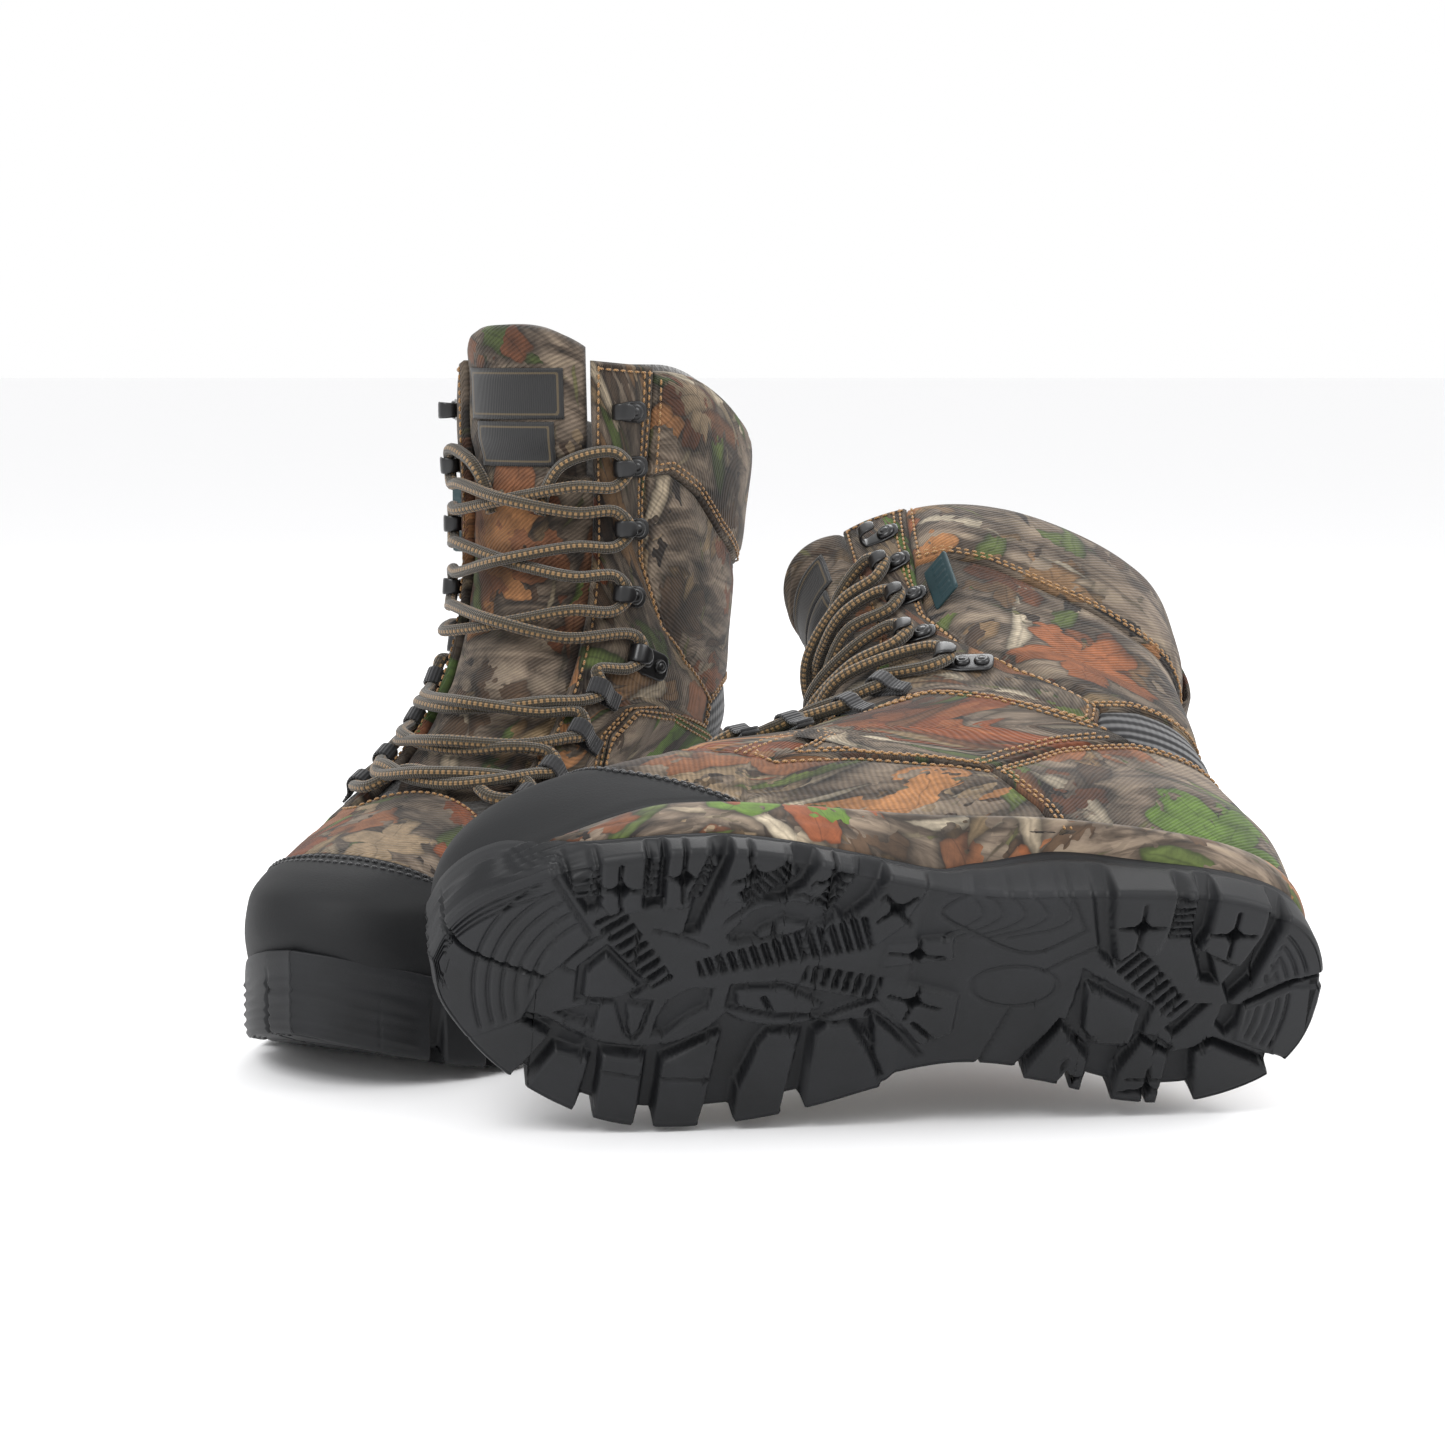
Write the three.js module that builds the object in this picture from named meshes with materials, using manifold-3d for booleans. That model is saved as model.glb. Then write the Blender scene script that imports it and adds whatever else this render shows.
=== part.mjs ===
// A pair of insulated hunting boots: the right boot stands on its sole and the left boot lies on its
// inner side, with its shaft pointing away from the right boot's toe.
// Each boot is made once, in its own frame (x from heel to toe, +y to the inner side of the right
// boot, z up, millimetres), then placed. The left boot is the right one mirrored in y.
import * as THREE from "three";
import { mergeVertices } from "three/addons/utils/BufferGeometryUtils.js";
import Module from "manifold-3d";

const wasm = await Module();
wasm.setup();

// ---------- driving dimensions ----------
const LENGTH = 315; // outsole, heel to toe
const SPRING_START = 225; // x where the toe begins to rise
const SOLE_TOP = 30; // height of the midsole's top at the ankle
const COLLAR_FRONT = 270; // height of the collar at the facings
const COLLAR_BACK = 241; // height of the collar at the heel
const SHELL = 2.0; // fabric shell of the lower panels
const PADDED = 3.8; // padded panels of the shaft
const LINER = [-10, -5]; // insulated bootie, as offsets from the outer surface
const GAP = 0.3; // between pieces that touch
const LACE_R = 2.2;
const THROAT = 32; // half width of the lacing gap
const TONGUE_FOLD = 222; // height where the tongue's top part folds forward
const TONGUE_TOP = 283;

// Profiles of the upper by height: [z, value].
const FRONT = [
  [30, 307], [45, 311], [58, 308], [70, 296], [80, 276], [88, 252], [95, 230], [104, 210],
  [118, 191], [135, 175], [152, 163], [170, 155], [190, 150], [215, 148], [240, 149], [285, 152],
];
const BACK = [[30, 4], [60, 2], [85, 6], [110, 11], [135, 12], [165, 11], [200, 7], [235, 3], [285, 1]];
const MIDDLE = [[30, 208], [60, 205], [80, 190], [100, 150], [120, 110], [140, 92], [170, 82], [285, 76]];
const OUTER_HALF = [[30, 54], [60, 54], [80, 50], [100, 47], [120, 46], [140, 46], [170, 48], [200, 50], [240, 53], [285, 51]];
const INNER_HALF = [[30, 56], [60, 55], [80, 51], [100, 50], [120, 49], [140, 49], [170, 50], [200, 52], [240, 54], [285, 51]];
const TOE_SHIFT = [[30, 7], [60, 7], [90, 4], [110, 0]];
const SQUARE_FRONT = [[30, 2.3], [80, 2.2], [120, 2.1]];
const SQUARE_BACK = [[30, 3.5], [60, 3.3], [85, 3.0], [115, 2.6], [150, 2.4]];
const SPRING = [[0, 22], [12, 20], [30, 17], [80, 9], [100, 0]];
// Half widths of the outsole by distance from the heel: [x, value].
const OUTER_EDGE = [
  [0, 10], [2.5, 20], [9, 31], [20, 39], [40, 45.5], [65, 47], [95, 46], [125, 45], [150, 48],
  [175, 53], [200, 57.5], [225, 59], [250, 55], [272, 46.5], [290, 34.5], [303, 22], [311, 9], [315, -4],
];
const INNER_EDGE = [
  [0, 10], [2.5, 20], [9, 31], [20, 39.5], [40, 47], [65, 47], [95, 39], [125, 36], [150, 42],
  [175, 52], [200, 59.5], [225, 63], [250, 62], [272, 55], [290, 45], [303, 33], [311, 22], [315, 8],
];
// Top of the outsole's side wall by distance from the heel.
const RIM = [
  [0, 22], [40, 19], [65, 21], [99, 27], [130, 19], [145, 12.6], [165, 13], [200, 12.6], [240, 12.6],
  [262, 14], [280, 19], [297, 31], [315, 37],
];

// ---------- curves and surfaces ----------
// Value at t of a table of [t, value] pairs, joined by straight lines and held flat past both ends.
function along(table, t) {
  if (t <= table[0][0]) return table[0][1];
  for (let i = 1; i < table.length; i++) {
    const [b, vb] = table[i];
    const [a, va] = table[i - 1];
    if (t <= b) return va + ((vb - va) * (t - a)) / (b - a);
  }
  return table[table.length - 1][1];
}

// Rise of the toe at a place along the boot and a height.
function spring(x, z) {
  const t = Math.max(0, (x - SPRING_START) / (LENGTH - SPRING_START));
  return along(SPRING, z) * t * t;
}

const power = (v, p) => Math.sign(v) * Math.abs(v) ** p;

// Point of the upper's outer surface at an angle from the toe and a height.
function skin(phi, z) {
  const c = Math.cos(phi);
  const s = Math.sin(phi);
  const ahead = c > 0;
  const n = along(ahead ? SQUARE_FRONT : SQUARE_BACK, z);
  const middle = along(MIDDLE, z);
  const reach = ahead ? along(FRONT, z) - middle : middle - along(BACK, z);
  const x = middle + reach * power(c, 2 / n);
  const waist = Math.exp(-(((x - 125) / 48) ** 2)) * along([[30, 1], [60, 0.7], [100, 0]], z);
  const half = along(s > 0 ? INNER_HALF : OUTER_HALF, z) * (1 - waist * (s > 0 ? 0.2 : 0.08));
  const t = Math.max(0, (x - middle) / reach);
  const y = half * power(s, 2 / n) + along(TOE_SHIFT, z) * t * t;
  return new THREE.Vector3(x, y, z + spring(x, z));
}

// The surface's outward normal there.
function normal(phi, z) {
  const across = skin(phi + 0.02, z).sub(skin(phi - 0.02, z));
  const up = skin(phi, z + 1.5).sub(skin(phi, z - 1.5));
  return across.cross(up).normalize();
}

const offsetSkin = (phi, z, off) => skin(phi, z).addScaledVector(normal(phi, z), off);

// Angle from the toe where the surface reaches a given y at a given height, on the front half.
function angleAt(y, z) {
  const half = along(y > 0 ? INNER_HALF : OUTER_HALF, z);
  const n = along(SQUARE_FRONT, z);
  return Math.sign(y) * Math.asin(Math.min(0.999, (Math.abs(y) / half) ** (n / 2)));
}

const facePoint = (y, z, off) => offsetSkin(angleAt(y, z), z, off);

// Height of the collar's edge at an angle from the toe.
function collarHeight(phi) {
  const t = Math.min(1, Math.max(0, (skin(phi, 235).x - 8) / 98));
  return COLLAR_BACK + (COLLAR_FRONT - COLLAR_BACK) * t * t * (3 - 2 * t);
}

// ---------- solids ----------
// Closed geometry over a grid of outer points and the matching inner points, grid[i][j].
// With wrap, i runs all the way round.
function slab(outer, inner, wrap = false) {
  const rows = outer.length;
  const cols = outer[0].length;
  const position = [];
  const index = [];
  for (const grid of [outer, inner]) for (const row of grid) for (const p of row) position.push(p.x, p.y, p.z);
  const at = (side, i, j) => side * rows * cols + (i % rows) * cols + j;
  const quad = (a, b, c, d) => index.push(a, b, c, a, c, d);
  const last = wrap ? rows : rows - 1;
  for (let i = 0; i < last; i++) {
    for (let j = 0; j < cols - 1; j++) {
      quad(at(0, i, j), at(0, i + 1, j), at(0, i + 1, j + 1), at(0, i, j + 1));
      quad(at(1, i, j), at(1, i, j + 1), at(1, i + 1, j + 1), at(1, i + 1, j));
    }
    quad(at(0, i, cols - 1), at(0, i + 1, cols - 1), at(1, i + 1, cols - 1), at(1, i, cols - 1));
    quad(at(1, i, 0), at(1, i + 1, 0), at(0, i + 1, 0), at(0, i, 0));
  }
  for (let j = 0; j < cols - 1 && !wrap; j++) {
    quad(at(0, 0, j), at(0, 0, j + 1), at(1, 0, j + 1), at(1, 0, j));
    quad(at(1, rows - 1, j), at(1, rows - 1, j + 1), at(0, rows - 1, j + 1), at(0, rows - 1, j));
  }
  const g = new THREE.BufferGeometry();
  g.setAttribute("position", new THREE.Float32BufferAttribute(position, 3));
  g.setIndex(index);
  return g;
}

function solid(geometry) {
  const plain = new THREE.BufferGeometry();
  plain.setAttribute("position", geometry.getAttribute("position").clone());
  if (geometry.index) plain.setIndex(geometry.index.clone());
  const merged = mergeVertices(plain, 1e-3);
  const mesh = new wasm.Mesh({
    numProp: 3,
    vertProperties: merged.attributes.position.array,
    triVerts: new Uint32Array(merged.index.array),
  });
  return new wasm.Manifold(mesh);
}

function geometryOf(manifold) {
  const m = manifold.getMesh();
  const g = new THREE.BufferGeometry();
  const p = new Float32Array(m.numVert * 3);
  for (let i = 0; i < m.numVert; i++) p.set(m.vertProperties.subarray(i * m.numProp, i * m.numProp + 3), i * 3);
  g.setAttribute("position", new THREE.BufferAttribute(p, 3));
  g.setIndex(new THREE.BufferAttribute(m.triVerts, 1));
  return g;
}

const join = (parts) => parts.reduce((a, b) => a.add(b));

// Box with its centre, size and, optionally, a turn about z.
function box(x, y, z, dx, dy, dz, turn = 0) {
  const g = new THREE.BoxGeometry(dx, dy, dz);
  g.rotateZ(turn);
  g.translate(x, y, z);
  return solid(g);
}

// Outline in the (x, z) side view, cut through from y = from to y = to.
function sidePrism(points, from = -90, to = 90) {
  const shape = new THREE.Shape(points.map(([x, z]) => new THREE.Vector2(x, z)));
  const g = new THREE.ExtrudeGeometry(shape, { depth: to - from, bevelEnabled: false });
  g.rotateX(Math.PI / 2);
  g.translate(0, to, 0);
  return solid(g);
}

// Outline in the (x, y) plan, standing from z = from to z = to.
function planPrism(points, from, to) {
  const shape = new THREE.Shape(points.map(([x, y]) => new THREE.Vector2(x, y)));
  const g = new THREE.ExtrudeGeometry(shape, { depth: to - from, bevelEnabled: false });
  g.translate(0, 0, from);
  return solid(g);
}

// Slab that follows the sole's outline, pulled in all round by inset. low and high give its heights.
function soleSlab(inset, low, high, first = 0, last = LENGTH) {
  const shrink = 1 - inset / (LENGTH / 2);
  const narrow = 1 - inset / 56;
  const stations = OUTER_EDGE.map(([x]) => x).filter((x) => x >= first && x <= last);
  const row = (z) =>
    stations.map((x) => {
      const sx = LENGTH / 2 + (x - LENGTH / 2) * shrink;
      const a = -along(OUTER_EDGE, x) * narrow;
      const b = along(INNER_EDGE, x) * narrow;
      const h = z(sx);
      return [a, b].map((y) => new THREE.Vector3(sx, y, h + spring(sx, h)));
    });
  return solid(slab(row(high), row(low)));
}

// Round cord through a list of points.
function cord(points, radius, sides = 8) {
  const rings = [];
  let side = new THREE.Vector3(0, 0, 1);
  points.forEach((p, i) => {
    const before = points[Math.max(0, i - 1)];
    const after = points[Math.min(points.length - 1, i + 1)];
    const t = after.clone().sub(before).normalize();
    side = side.clone().addScaledVector(t, -side.dot(t)).normalize();
    const other = t.clone().cross(side);
    const ring = [];
    for (let k = 0; k < sides; k++) {
      const a = (2 * Math.PI * k) / sides;
      const q = p.clone().addScaledVector(side, radius * Math.cos(a));
      ring.push(q.addScaledVector(other, radius * Math.sin(a)));
    }
    rings.push(ring);
  });
  const position = [];
  const index = [];
  for (const ring of rings) for (const q of ring) position.push(q.x, q.y, q.z);
  for (let i = 0; i < rings.length - 1; i++) {
    for (let k = 0; k < sides; k++) {
      const a = i * sides + k;
      const b = i * sides + ((k + 1) % sides);
      index.push(a, b, b + sides, a, b + sides, a + sides);
    }
  }
  const end = (rings.length - 1) * sides;
  for (let k = 1; k < sides - 1; k++) {
    index.push(0, k + 1, k);
    index.push(end, end + k, end + k + 1);
  }
  const g = new THREE.BufferGeometry();
  g.setAttribute("position", new THREE.Float32BufferAttribute(position, 3));
  g.setIndex(index);
  return solid(g);
}

// ---------- the upper ----------
const ROWS = [30.4, 47, 62, 76, 88, 97, 107, 120, 140, 166, 202, 238, COLLAR_FRONT];
const AROUND = 20;

// Closed layer of the upper between two offsets from its outer surface, from a lowest height up.
function layer(low, high, rows = ROWS) {
  const grid = (off) => {
    const out = [];
    for (let i = 0; i < AROUND; i++) {
      const phi = (2 * Math.PI * i) / AROUND;
      const top = collarHeight(phi);
      out.push(
        rows.map((z) => {
          const h = z <= 166 ? z : 166 + ((z - 166) * (top - 166)) / (COLLAR_FRONT - 166);
          return offsetSkin(phi, h, off);
        }),
      );
    }
    return out;
  };
  return solid(slab(grid(high), grid(low), true));
}

// Panel borders in the side view, each from the front or the bottom to the back or the top.
const CAP_LINE = [[204, 20], [212, 37], [228, 47], [246, 57], [264, 70], [276, 84], [278, 110]];
const FOXING_LINE = [[196, 64], [163, 72], [130, 72], [116, 69]];
const COUNTER_FRONT = [[116, 69], [102, 46], [96, 20]];
const COUNTER_TOP = [[116, 69], [84, 91], [53, 104], [30, 107], [-20, 108]];
const FLAP_TOP = [[196, 64], [160, 102], [146, 117], [128, 127], [108, 125], [65, 111], [53, 104]];
const FACING_BACK = [[65, 111], [61, 122], [78, 135], [106, 156], [117, 184], [117, 213], [115, 240], [112, 300]];
const FLEX_TOP = [[61, 122], [45, 128], [20, 131], [-20, 131]];
const COLLAR_SEAM = [[116, 222], [105, 223], [88, 214], [66, 197], [36, 181], [-20, 172]];

// Shift of a border by half a gap, so two panels that share it stay apart.
const shifted = (line, dx, dz) => line.map(([x, z]) => [x + dx, z + dz]);
const back = (line) => [...line].reverse();

function upperPanels() {
  const thin = layer(-SHELL, 0);
  const thick = layer(-PADDED, 0);
  const throat = planPrism([[100, -THROAT], [196, -THROAT], [212, -18], [212, 18], [196, THROAT], [100, THROAT]], 80, 320);
  const g = GAP / 2;
  const cap = sidePrism([...shifted(CAP_LINE, g, 0), [340, 110], [340, 0], [204 + g, 0]]);
  const vamp = sidePrism([
    ...shifted(CAP_LINE, -g, 0), [240, 125], [214, 125], [201, 84], ...shifted(FOXING_LINE, 0, -g),
    ...shifted(COUNTER_FRONT.slice(1), g, 0), [96 + g, 0], [204 - g, 0],
  ]);
  const counter = sidePrism([
    ...shifted(COUNTER_FRONT, -g, -g), [96 - g, 0], [-20, 0], ...shifted(back(COUNTER_TOP.slice(1)), 0, -g),
  ]);
  const flap = sidePrism([
    ...shifted(FLAP_TOP.slice(1, 6), 0, -g), [58.5, 102.3], ...shifted(COUNTER_TOP.slice(1, 2), 0, g),
    ...shifted(back(FOXING_LINE), 0, g),
  ]);
  const facing = sidePrism([
    ...shifted(back(FLAP_TOP.slice(0, 6)), 0, g), [200.6, 84.2], [213.6, 125.5], [214, 300],
    ...shifted(back(FACING_BACK.slice(1)), g, 0),
  ]);
  const flex = sidePrism([
    ...shifted(COUNTER_TOP.slice(2), 0, g), ...shifted(back(FLEX_TOP), 0, -g),
    ...shifted([[65, 111]], -g, g),
  ]);
  const shaft = sidePrism([
    ...shifted(FACING_BACK.slice(1, 6), -g, 0), ...shifted(COLLAR_SEAM, -g, -g), ...shifted(back(FLEX_TOP.slice(1)), 0, g),
  ]);
  const collar = sidePrism([
    ...shifted(COLLAR_SEAM, -g, g), [-20, 300], [112 - g, 300], [115 - g, 240],
  ]);
  const rim = soleSlab(-8, () => -5, (x) => along(RIM, x) + GAP).subtract(soleSlab(2.6 + GAP, () => 0, () => 90));
  const half = (m, side) => m.intersect(box(150, side * 60, 150, 500, 119.4, 400));
  const open = thick.subtract(throat);
  const flapSolid = thin.intersect(flap).subtract(throat);
  const facingSolid = open.intersect(facing);
  return {
    toe_cap: thin.intersect(cap).subtract(rim),
    vamp: thin.intersect(vamp).subtract(throat).subtract(rim),
    quarter_outer: half(flapSolid, -1),
    quarter_inner: half(flapSolid, 1),
    heel_cover: thin.intersect(counter).subtract(rim),
    facing_outer: half(facingSolid, -1),
    facing_inner: half(facingSolid, 1),
    achilles_flex: thin.intersect(flex),
    shaft_panel: thick.intersect(shaft),
    collar: thick.intersect(collar),
  };
}

// Stiffeners between the shell and the lining, and the insulated bootie itself.
function insides() {
  const between = layer(-SHELL - 2.2, -SHELL - GAP, ROWS.slice(0, 6));
  const lining = layer(LINER[0], LINER[1], [34, 62, 76, 88, 97, 107, 120, 140, 166, 218, COLLAR_FRONT]);
  const gap = planPrism([[90, -37.5], [205, -37.5], [222, -20], [222, 20], [205, 37.5], [90, 37.5]], 80, 320);
  return {
    toe_puff: between.intersect(sidePrism([[236, 0], [256, 66], [276, 120], [340, 120], [340, 0]])),
    heel_stiffener: between.intersect(sidePrism([[-20, 0], [72, 0], [58, 60], [30, 88], [-20, 90]])),
    bootie: lining.subtract(gap),
  };
}

// Padded patch of the tongue over the front of the boot, between two heights and a half width.
function tonguePatch(heights, half, low, high) {
  const across = [-1, -0.6, -0.2, 0.2, 0.6, 1];
  const grid = (off) => across.map((t) => heights.map((z) => facePoint(t * half(z), z, off)));
  return solid(slab(grid(high), grid(low)));
}

function tongue() {
  return {
    tongue: tonguePatch([101, 108, 118, 132, 152, 175, 200, TONGUE_FOLD - 0.4], (z) => Math.min(36.5, 24 + (z - 101) * 1.2), -10, -5.2),
    tongue_top: tonguePatch([TONGUE_FOLD + 0.4, 238, 255, 270, 278, TONGUE_TOP], (z) => (z > 270 ? 29 - (z - 270) * 0.5 : 29), -10, -5),
    tongue_label: tonguePatch([TONGUE_FOLD + 3, 238, 252, 265], () => 19, -4.7, -4.1),
  };
}

// ---------- lacing ----------
// Frame on the facing: s points away from the throat, u up the boot and n out of it.
function guideFrame(side, y, z) {
  const p = facePoint(side * y, z, 0);
  const phi = angleAt(side * y, z);
  const n = normal(phi, z);
  const ahead = facePoint(side * y, z + 3, 0).sub(facePoint(side * y, z - 3, 0)).normalize();
  const u = ahead.addScaledVector(n, -ahead.dot(n)).normalize();
  const s = u.clone().cross(n).multiplyScalar(-side);
  if (s.y * side < 0) s.negate();
  return { p, s, u, n };
}

const inFrame = (f, s, u, n) => f.p.clone().addScaledVector(f.s, s).addScaledVector(f.u, u).addScaledVector(f.n, n);

// Box given by its ranges along a frame's s, u and n.
function frameBox(f, s, u, n) {
  const corner = (a, b, c) => inFrame(f, s[a], u[b], n[c]);
  const grid = (c) => [0, 1].map((a) => [0, 1].map((b) => corner(a, b, c)));
  const made = slab(grid(1), grid(0));
  const flip = new THREE.Vector3().crossVectors(f.s, f.u).dot(f.n) < 0;
  if (flip) {
    const i = made.index.array;
    for (let k = 0; k < i.length; k += 3) [i[k + 1], i[k + 2]] = [i[k + 2], i[k + 1]];
  }
  return solid(made);
}

// Round rivet head standing on a frame at a place.
function rivet(f, s, u, n0, n1, r, sides = 8) {
  return cord([inFrame(f, s, u, n0), inFrame(f, s, u, n1)], r, sides);
}

const HOOKS = [174, 201, 226, 249]; // heights of the speed hooks
const LOOPS = [97, 106, 120, 136]; // heights of the webbing loops
const LOCK = 149; // height of the lock hook
const HOOK_Y = 38; // distance of a hook's stem from the middle
const LOOP_Y = 37;
const LOCK_Y = 43;

// Closed outline in a frame's (s, n) plane, extruded along u.
function frameOutline(f, points, halfWidth) {
  const shape = new THREE.Shape(points.map(([s, n]) => new THREE.Vector2(s, n)));
  const g = new THREE.ExtrudeGeometry(shape, { depth: 2 * halfWidth, bevelEnabled: false });
  g.translate(0, 0, -halfWidth);
  const turned = new THREE.Vector3().crossVectors(f.s, f.n).dot(f.u) > 0;
  g.applyMatrix4(new THREE.Matrix4().makeBasis(f.s, f.n, f.u).setPosition(f.p));
  if (!turned) {
    const p = g.getAttribute("position").array;
    for (let k = 0; k < p.length; k += 9) {
      const second = p.slice(k + 3, k + 6);
      p.copyWithin(k + 3, k + 6, k + 9);
      p.set(second, k + 6);
    }
  }
  return solid(g);
}

// Speed hook: riveted foot, stem at the throat side and a curl over the lace.
function hook(f) {
  const bent = [[-2, 0.4], [11.5, 0.4], [11.5, 1.6], [-0.8, 1.6], [-0.8, 7.6], [5.5, 7.2], [5.5, 8.4], [-2, 8.8]];
  return frameOutline(f, bent, 2.2).add(rivet(f, 8.2, 0, 0.5, 2.4, 3.2, 6));
}

// Webbing loop folded round the lace.
function loop(f) {
  const outer = [[-2.4, 0.7], [8.5, 0.7], [8.5, 5.2], [5.4, 8.3], [-2.4, 8.3]];
  const inner = [[-1.4, 1.7], [7.4, 1.7], [7.4, 4.8], [5, 7.4], [-1.4, 7.4]];
  return frameOutline(f, outer, 2.2).subtract(frameOutline(f, inner, 4));
}

// Thin strip that carries a row of guides along the facing.
function strip(side, y, s0, s1, heights) {
  const grid = (n) => [s0, s1].map((s) => heights.map((z) => inFrame(guideFrame(side, y, z), s, 0, n)));
  const pair = side > 0 ? [grid(1.3), grid(0.7)] : [grid(0.7), grid(1.3)];
  return solid(slab(pair[0], pair[1]));
}

function lockHook(side) {
  const f = guideFrame(side, LOCK_Y, LOCK);
  return join([
    frameOutline(f, [[-2, 0.5], [20, 0.5], [20, 2], [-0.8, 2], [-0.8, 7.4], [5, 7.2], [5, 8.6], [-2, 8.8]], 2.2),
    frameBox(f, [6.5, 20], [-5, 5], [0.6, 1.9]),
    rivet(f, 10.2, 0, 1.5, 3.4, 2.6),
    rivet(f, 16.4, 0, 1.5, 3.4, 2.6),
  ]);
}

function lacingHardware() {
  const out = {};
  for (const [name, side] of [["outer", -1], ["inner", 1]]) {
    const hooks = HOOKS.map((z) => hook(guideFrame(side, HOOK_Y, z)));
    const loops = LOOPS.map((z) => loop(guideFrame(side, LOOP_Y, z)));
    out["hooks_" + name] = join([strip(side, HOOK_Y, 3, 9, [173, 187, 201, 226, 250]), ...hooks]);
    out["loops_" + name] = join([strip(side, LOOP_Y, 3, 7.4, [96, 106, 113, 120, 137]), ...loops]);
    out["lock_hook_" + name] = lockHook(side);
  }
  return out;
}

// Points of the lace round one guide, from below to above it.
function around(f, n = 4.7) {
  return [[-1.6, -7], [4.2, 0], [-1.6, 7]].map(([s, u]) => inFrame(f, s, u, n));
}

// Points of one crossing from a guide on one side to the next guide on the other side.
function crossing(side, from, to, over) {
  return (over ? [0.07, 0.5, 0.93] : [0.07, 0.35, 0.65, 0.93]).map((t) => {
    const y = side * 30 * (1 - 2 * t);
    const z = from + 6 + (to - from - 12) * t;
    return facePoint(y, z, over ? 4 + 13 * t * (1 - t) : 2.6 + 5 * (t - 0.5) ** 2 * 4);
  });
}

// One strand from the bottom bar to its tucked end, starting on the given side.
function strand(start) {
  const levels = [...LOOPS, LOCK, ...HOOKS.slice(0, 3)];
  const points = [];
  let side = start;
  levels.forEach((z, k) => {
    const y = z === LOCK ? LOCK_Y : k < LOOPS.length ? LOOP_Y : HOOK_Y;
    points.push(...around(guideFrame(side, y, z)));
    const next = levels[k + 1];
    if (next === undefined) return;
    if (next === LOCK) return;
    points.push(...crossing(side, z, next, (side > 0) === (k % 2 === 0)));
    side = -side;
  });
  const tip = points.length;
  points.push(facePoint(side * 22, 228, 1.4), facePoint(side * 15, 218, -0.6), facePoint(side * 12, 207, -1.4));
  return points.slice(0, tip + 3);
}

function lace() {
  const bar = [-14, 0, 14].map((y) => facePoint(y, 104, 3.4));
  const left = strand(-1);
  const right = strand(1);
  const foot = (side) => facePoint(side * 28, 97, 3.6);
  return { lace: cord([...left.reverse(), foot(-1), ...bar, foot(1), ...right], LACE_R) };
}

// ---------- sole ----------
function sole() {
  const tread = soleSlab(0, () => 0, () => 6);
  const cutAt = (x, y, dx, dy, turn) => box(x, y, 0.5, dx, dy, 9, turn);
  const cuts = [];
  for (const x of [267, 243, 221, 197, 171]) cuts.push(cutAt(x, -52, 6, 26, -0.25));
  for (const x of [270, 248, 222, 196, 168]) cuts.push(cutAt(x, 54, 7, 30, 0.3));
  for (const x of [55, 24]) cuts.push(cutAt(x, -44, 7, 28, 0.2));
  for (const x of [74, 42, 14]) cuts.push(cutAt(x, 44, 8, 30, -0.35));
  const waist = planPrism([[90, -60], [143, -60], [152, 0], [140, 60], [98, 60], [86, 10]], -1, 3.2);
  const oval = new THREE.CylinderGeometry(1, 1, 3.4, 18);
  oval.rotateX(Math.PI / 2);
  oval.scale(46, 26, 1);
  oval.translate(216, -2, 1.2);
  const cup = soleSlab(0, () => 5.5, (x) => along(RIM, x));
  const hollow = soleSlab(2.6, () => 12, () => 70);
  const body = cup.subtract(hollow).add(tread.subtract(join([...cuts, waist, solid(oval)])));
  const plate = soleSlab(2.9, () => 12.3, () => SOLE_TOP);
  const slot = box(118, 0, 28, 96, 26, 7);
  return {
    outsole: body,
    midsole: plate.subtract(slot),
    shank: box(118, 0, 27.6, 95.2, 25.2, 3),
    insole_board: soleSlab(13.4, () => 30.4, () => 32.8),
    footbed: soleSlab(20, () => 34, () => 39),
  };
}

// ---------- trim ----------
const PULL_Z = 184; // height where the pull loop is sewn on
const TAB_Z = 202; // middle of the side tab

function pullLoop() {
  const at = ([x, z]) => [along(BACK, PULL_Z + z) + x, PULL_Z + z];
  const outer = [[-0.6, 0], [-4, -2.5], [-8.5, 4], [-10.5, 26], [-9, 42], [-4.6, 48], [-0.6, 44]].map(at);
  const hole = [[-2.4, 4], [-5, 3], [-8, 12], [-8.6, 26], [-7.2, 40], [-4.4, 45], [-2.4, 41]].map(at);
  return { pull_loop: sidePrism(outer, -7, 7).subtract(sidePrism(hole, -8, 8)) };
}

// Rubber flag sewn into the facing's seam on the outer side, free at its back edge.
function sideTab() {
  let phi = Math.PI * 1.5;
  while (skin(phi, TAB_Z).x < 113) phi += 0.005;
  const p = skin(phi, TAB_Z);
  const n = normal(phi, TAB_Z);
  const behind = new THREE.Vector3(-1, 0, 0).addScaledVector(n, n.x).normalize();
  const s = behind.multiplyScalar(0.75).addScaledVector(n, 0.66).normalize();
  const u = new THREE.Vector3(0, 0, 1);
  const f = { p, s, u, n: new THREE.Vector3().crossVectors(s, u).normalize() };
  return { side_tab: frameBox(f, [1.4, 13.5], [-14, 14], [-0.7, 0.7]) };
}

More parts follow.
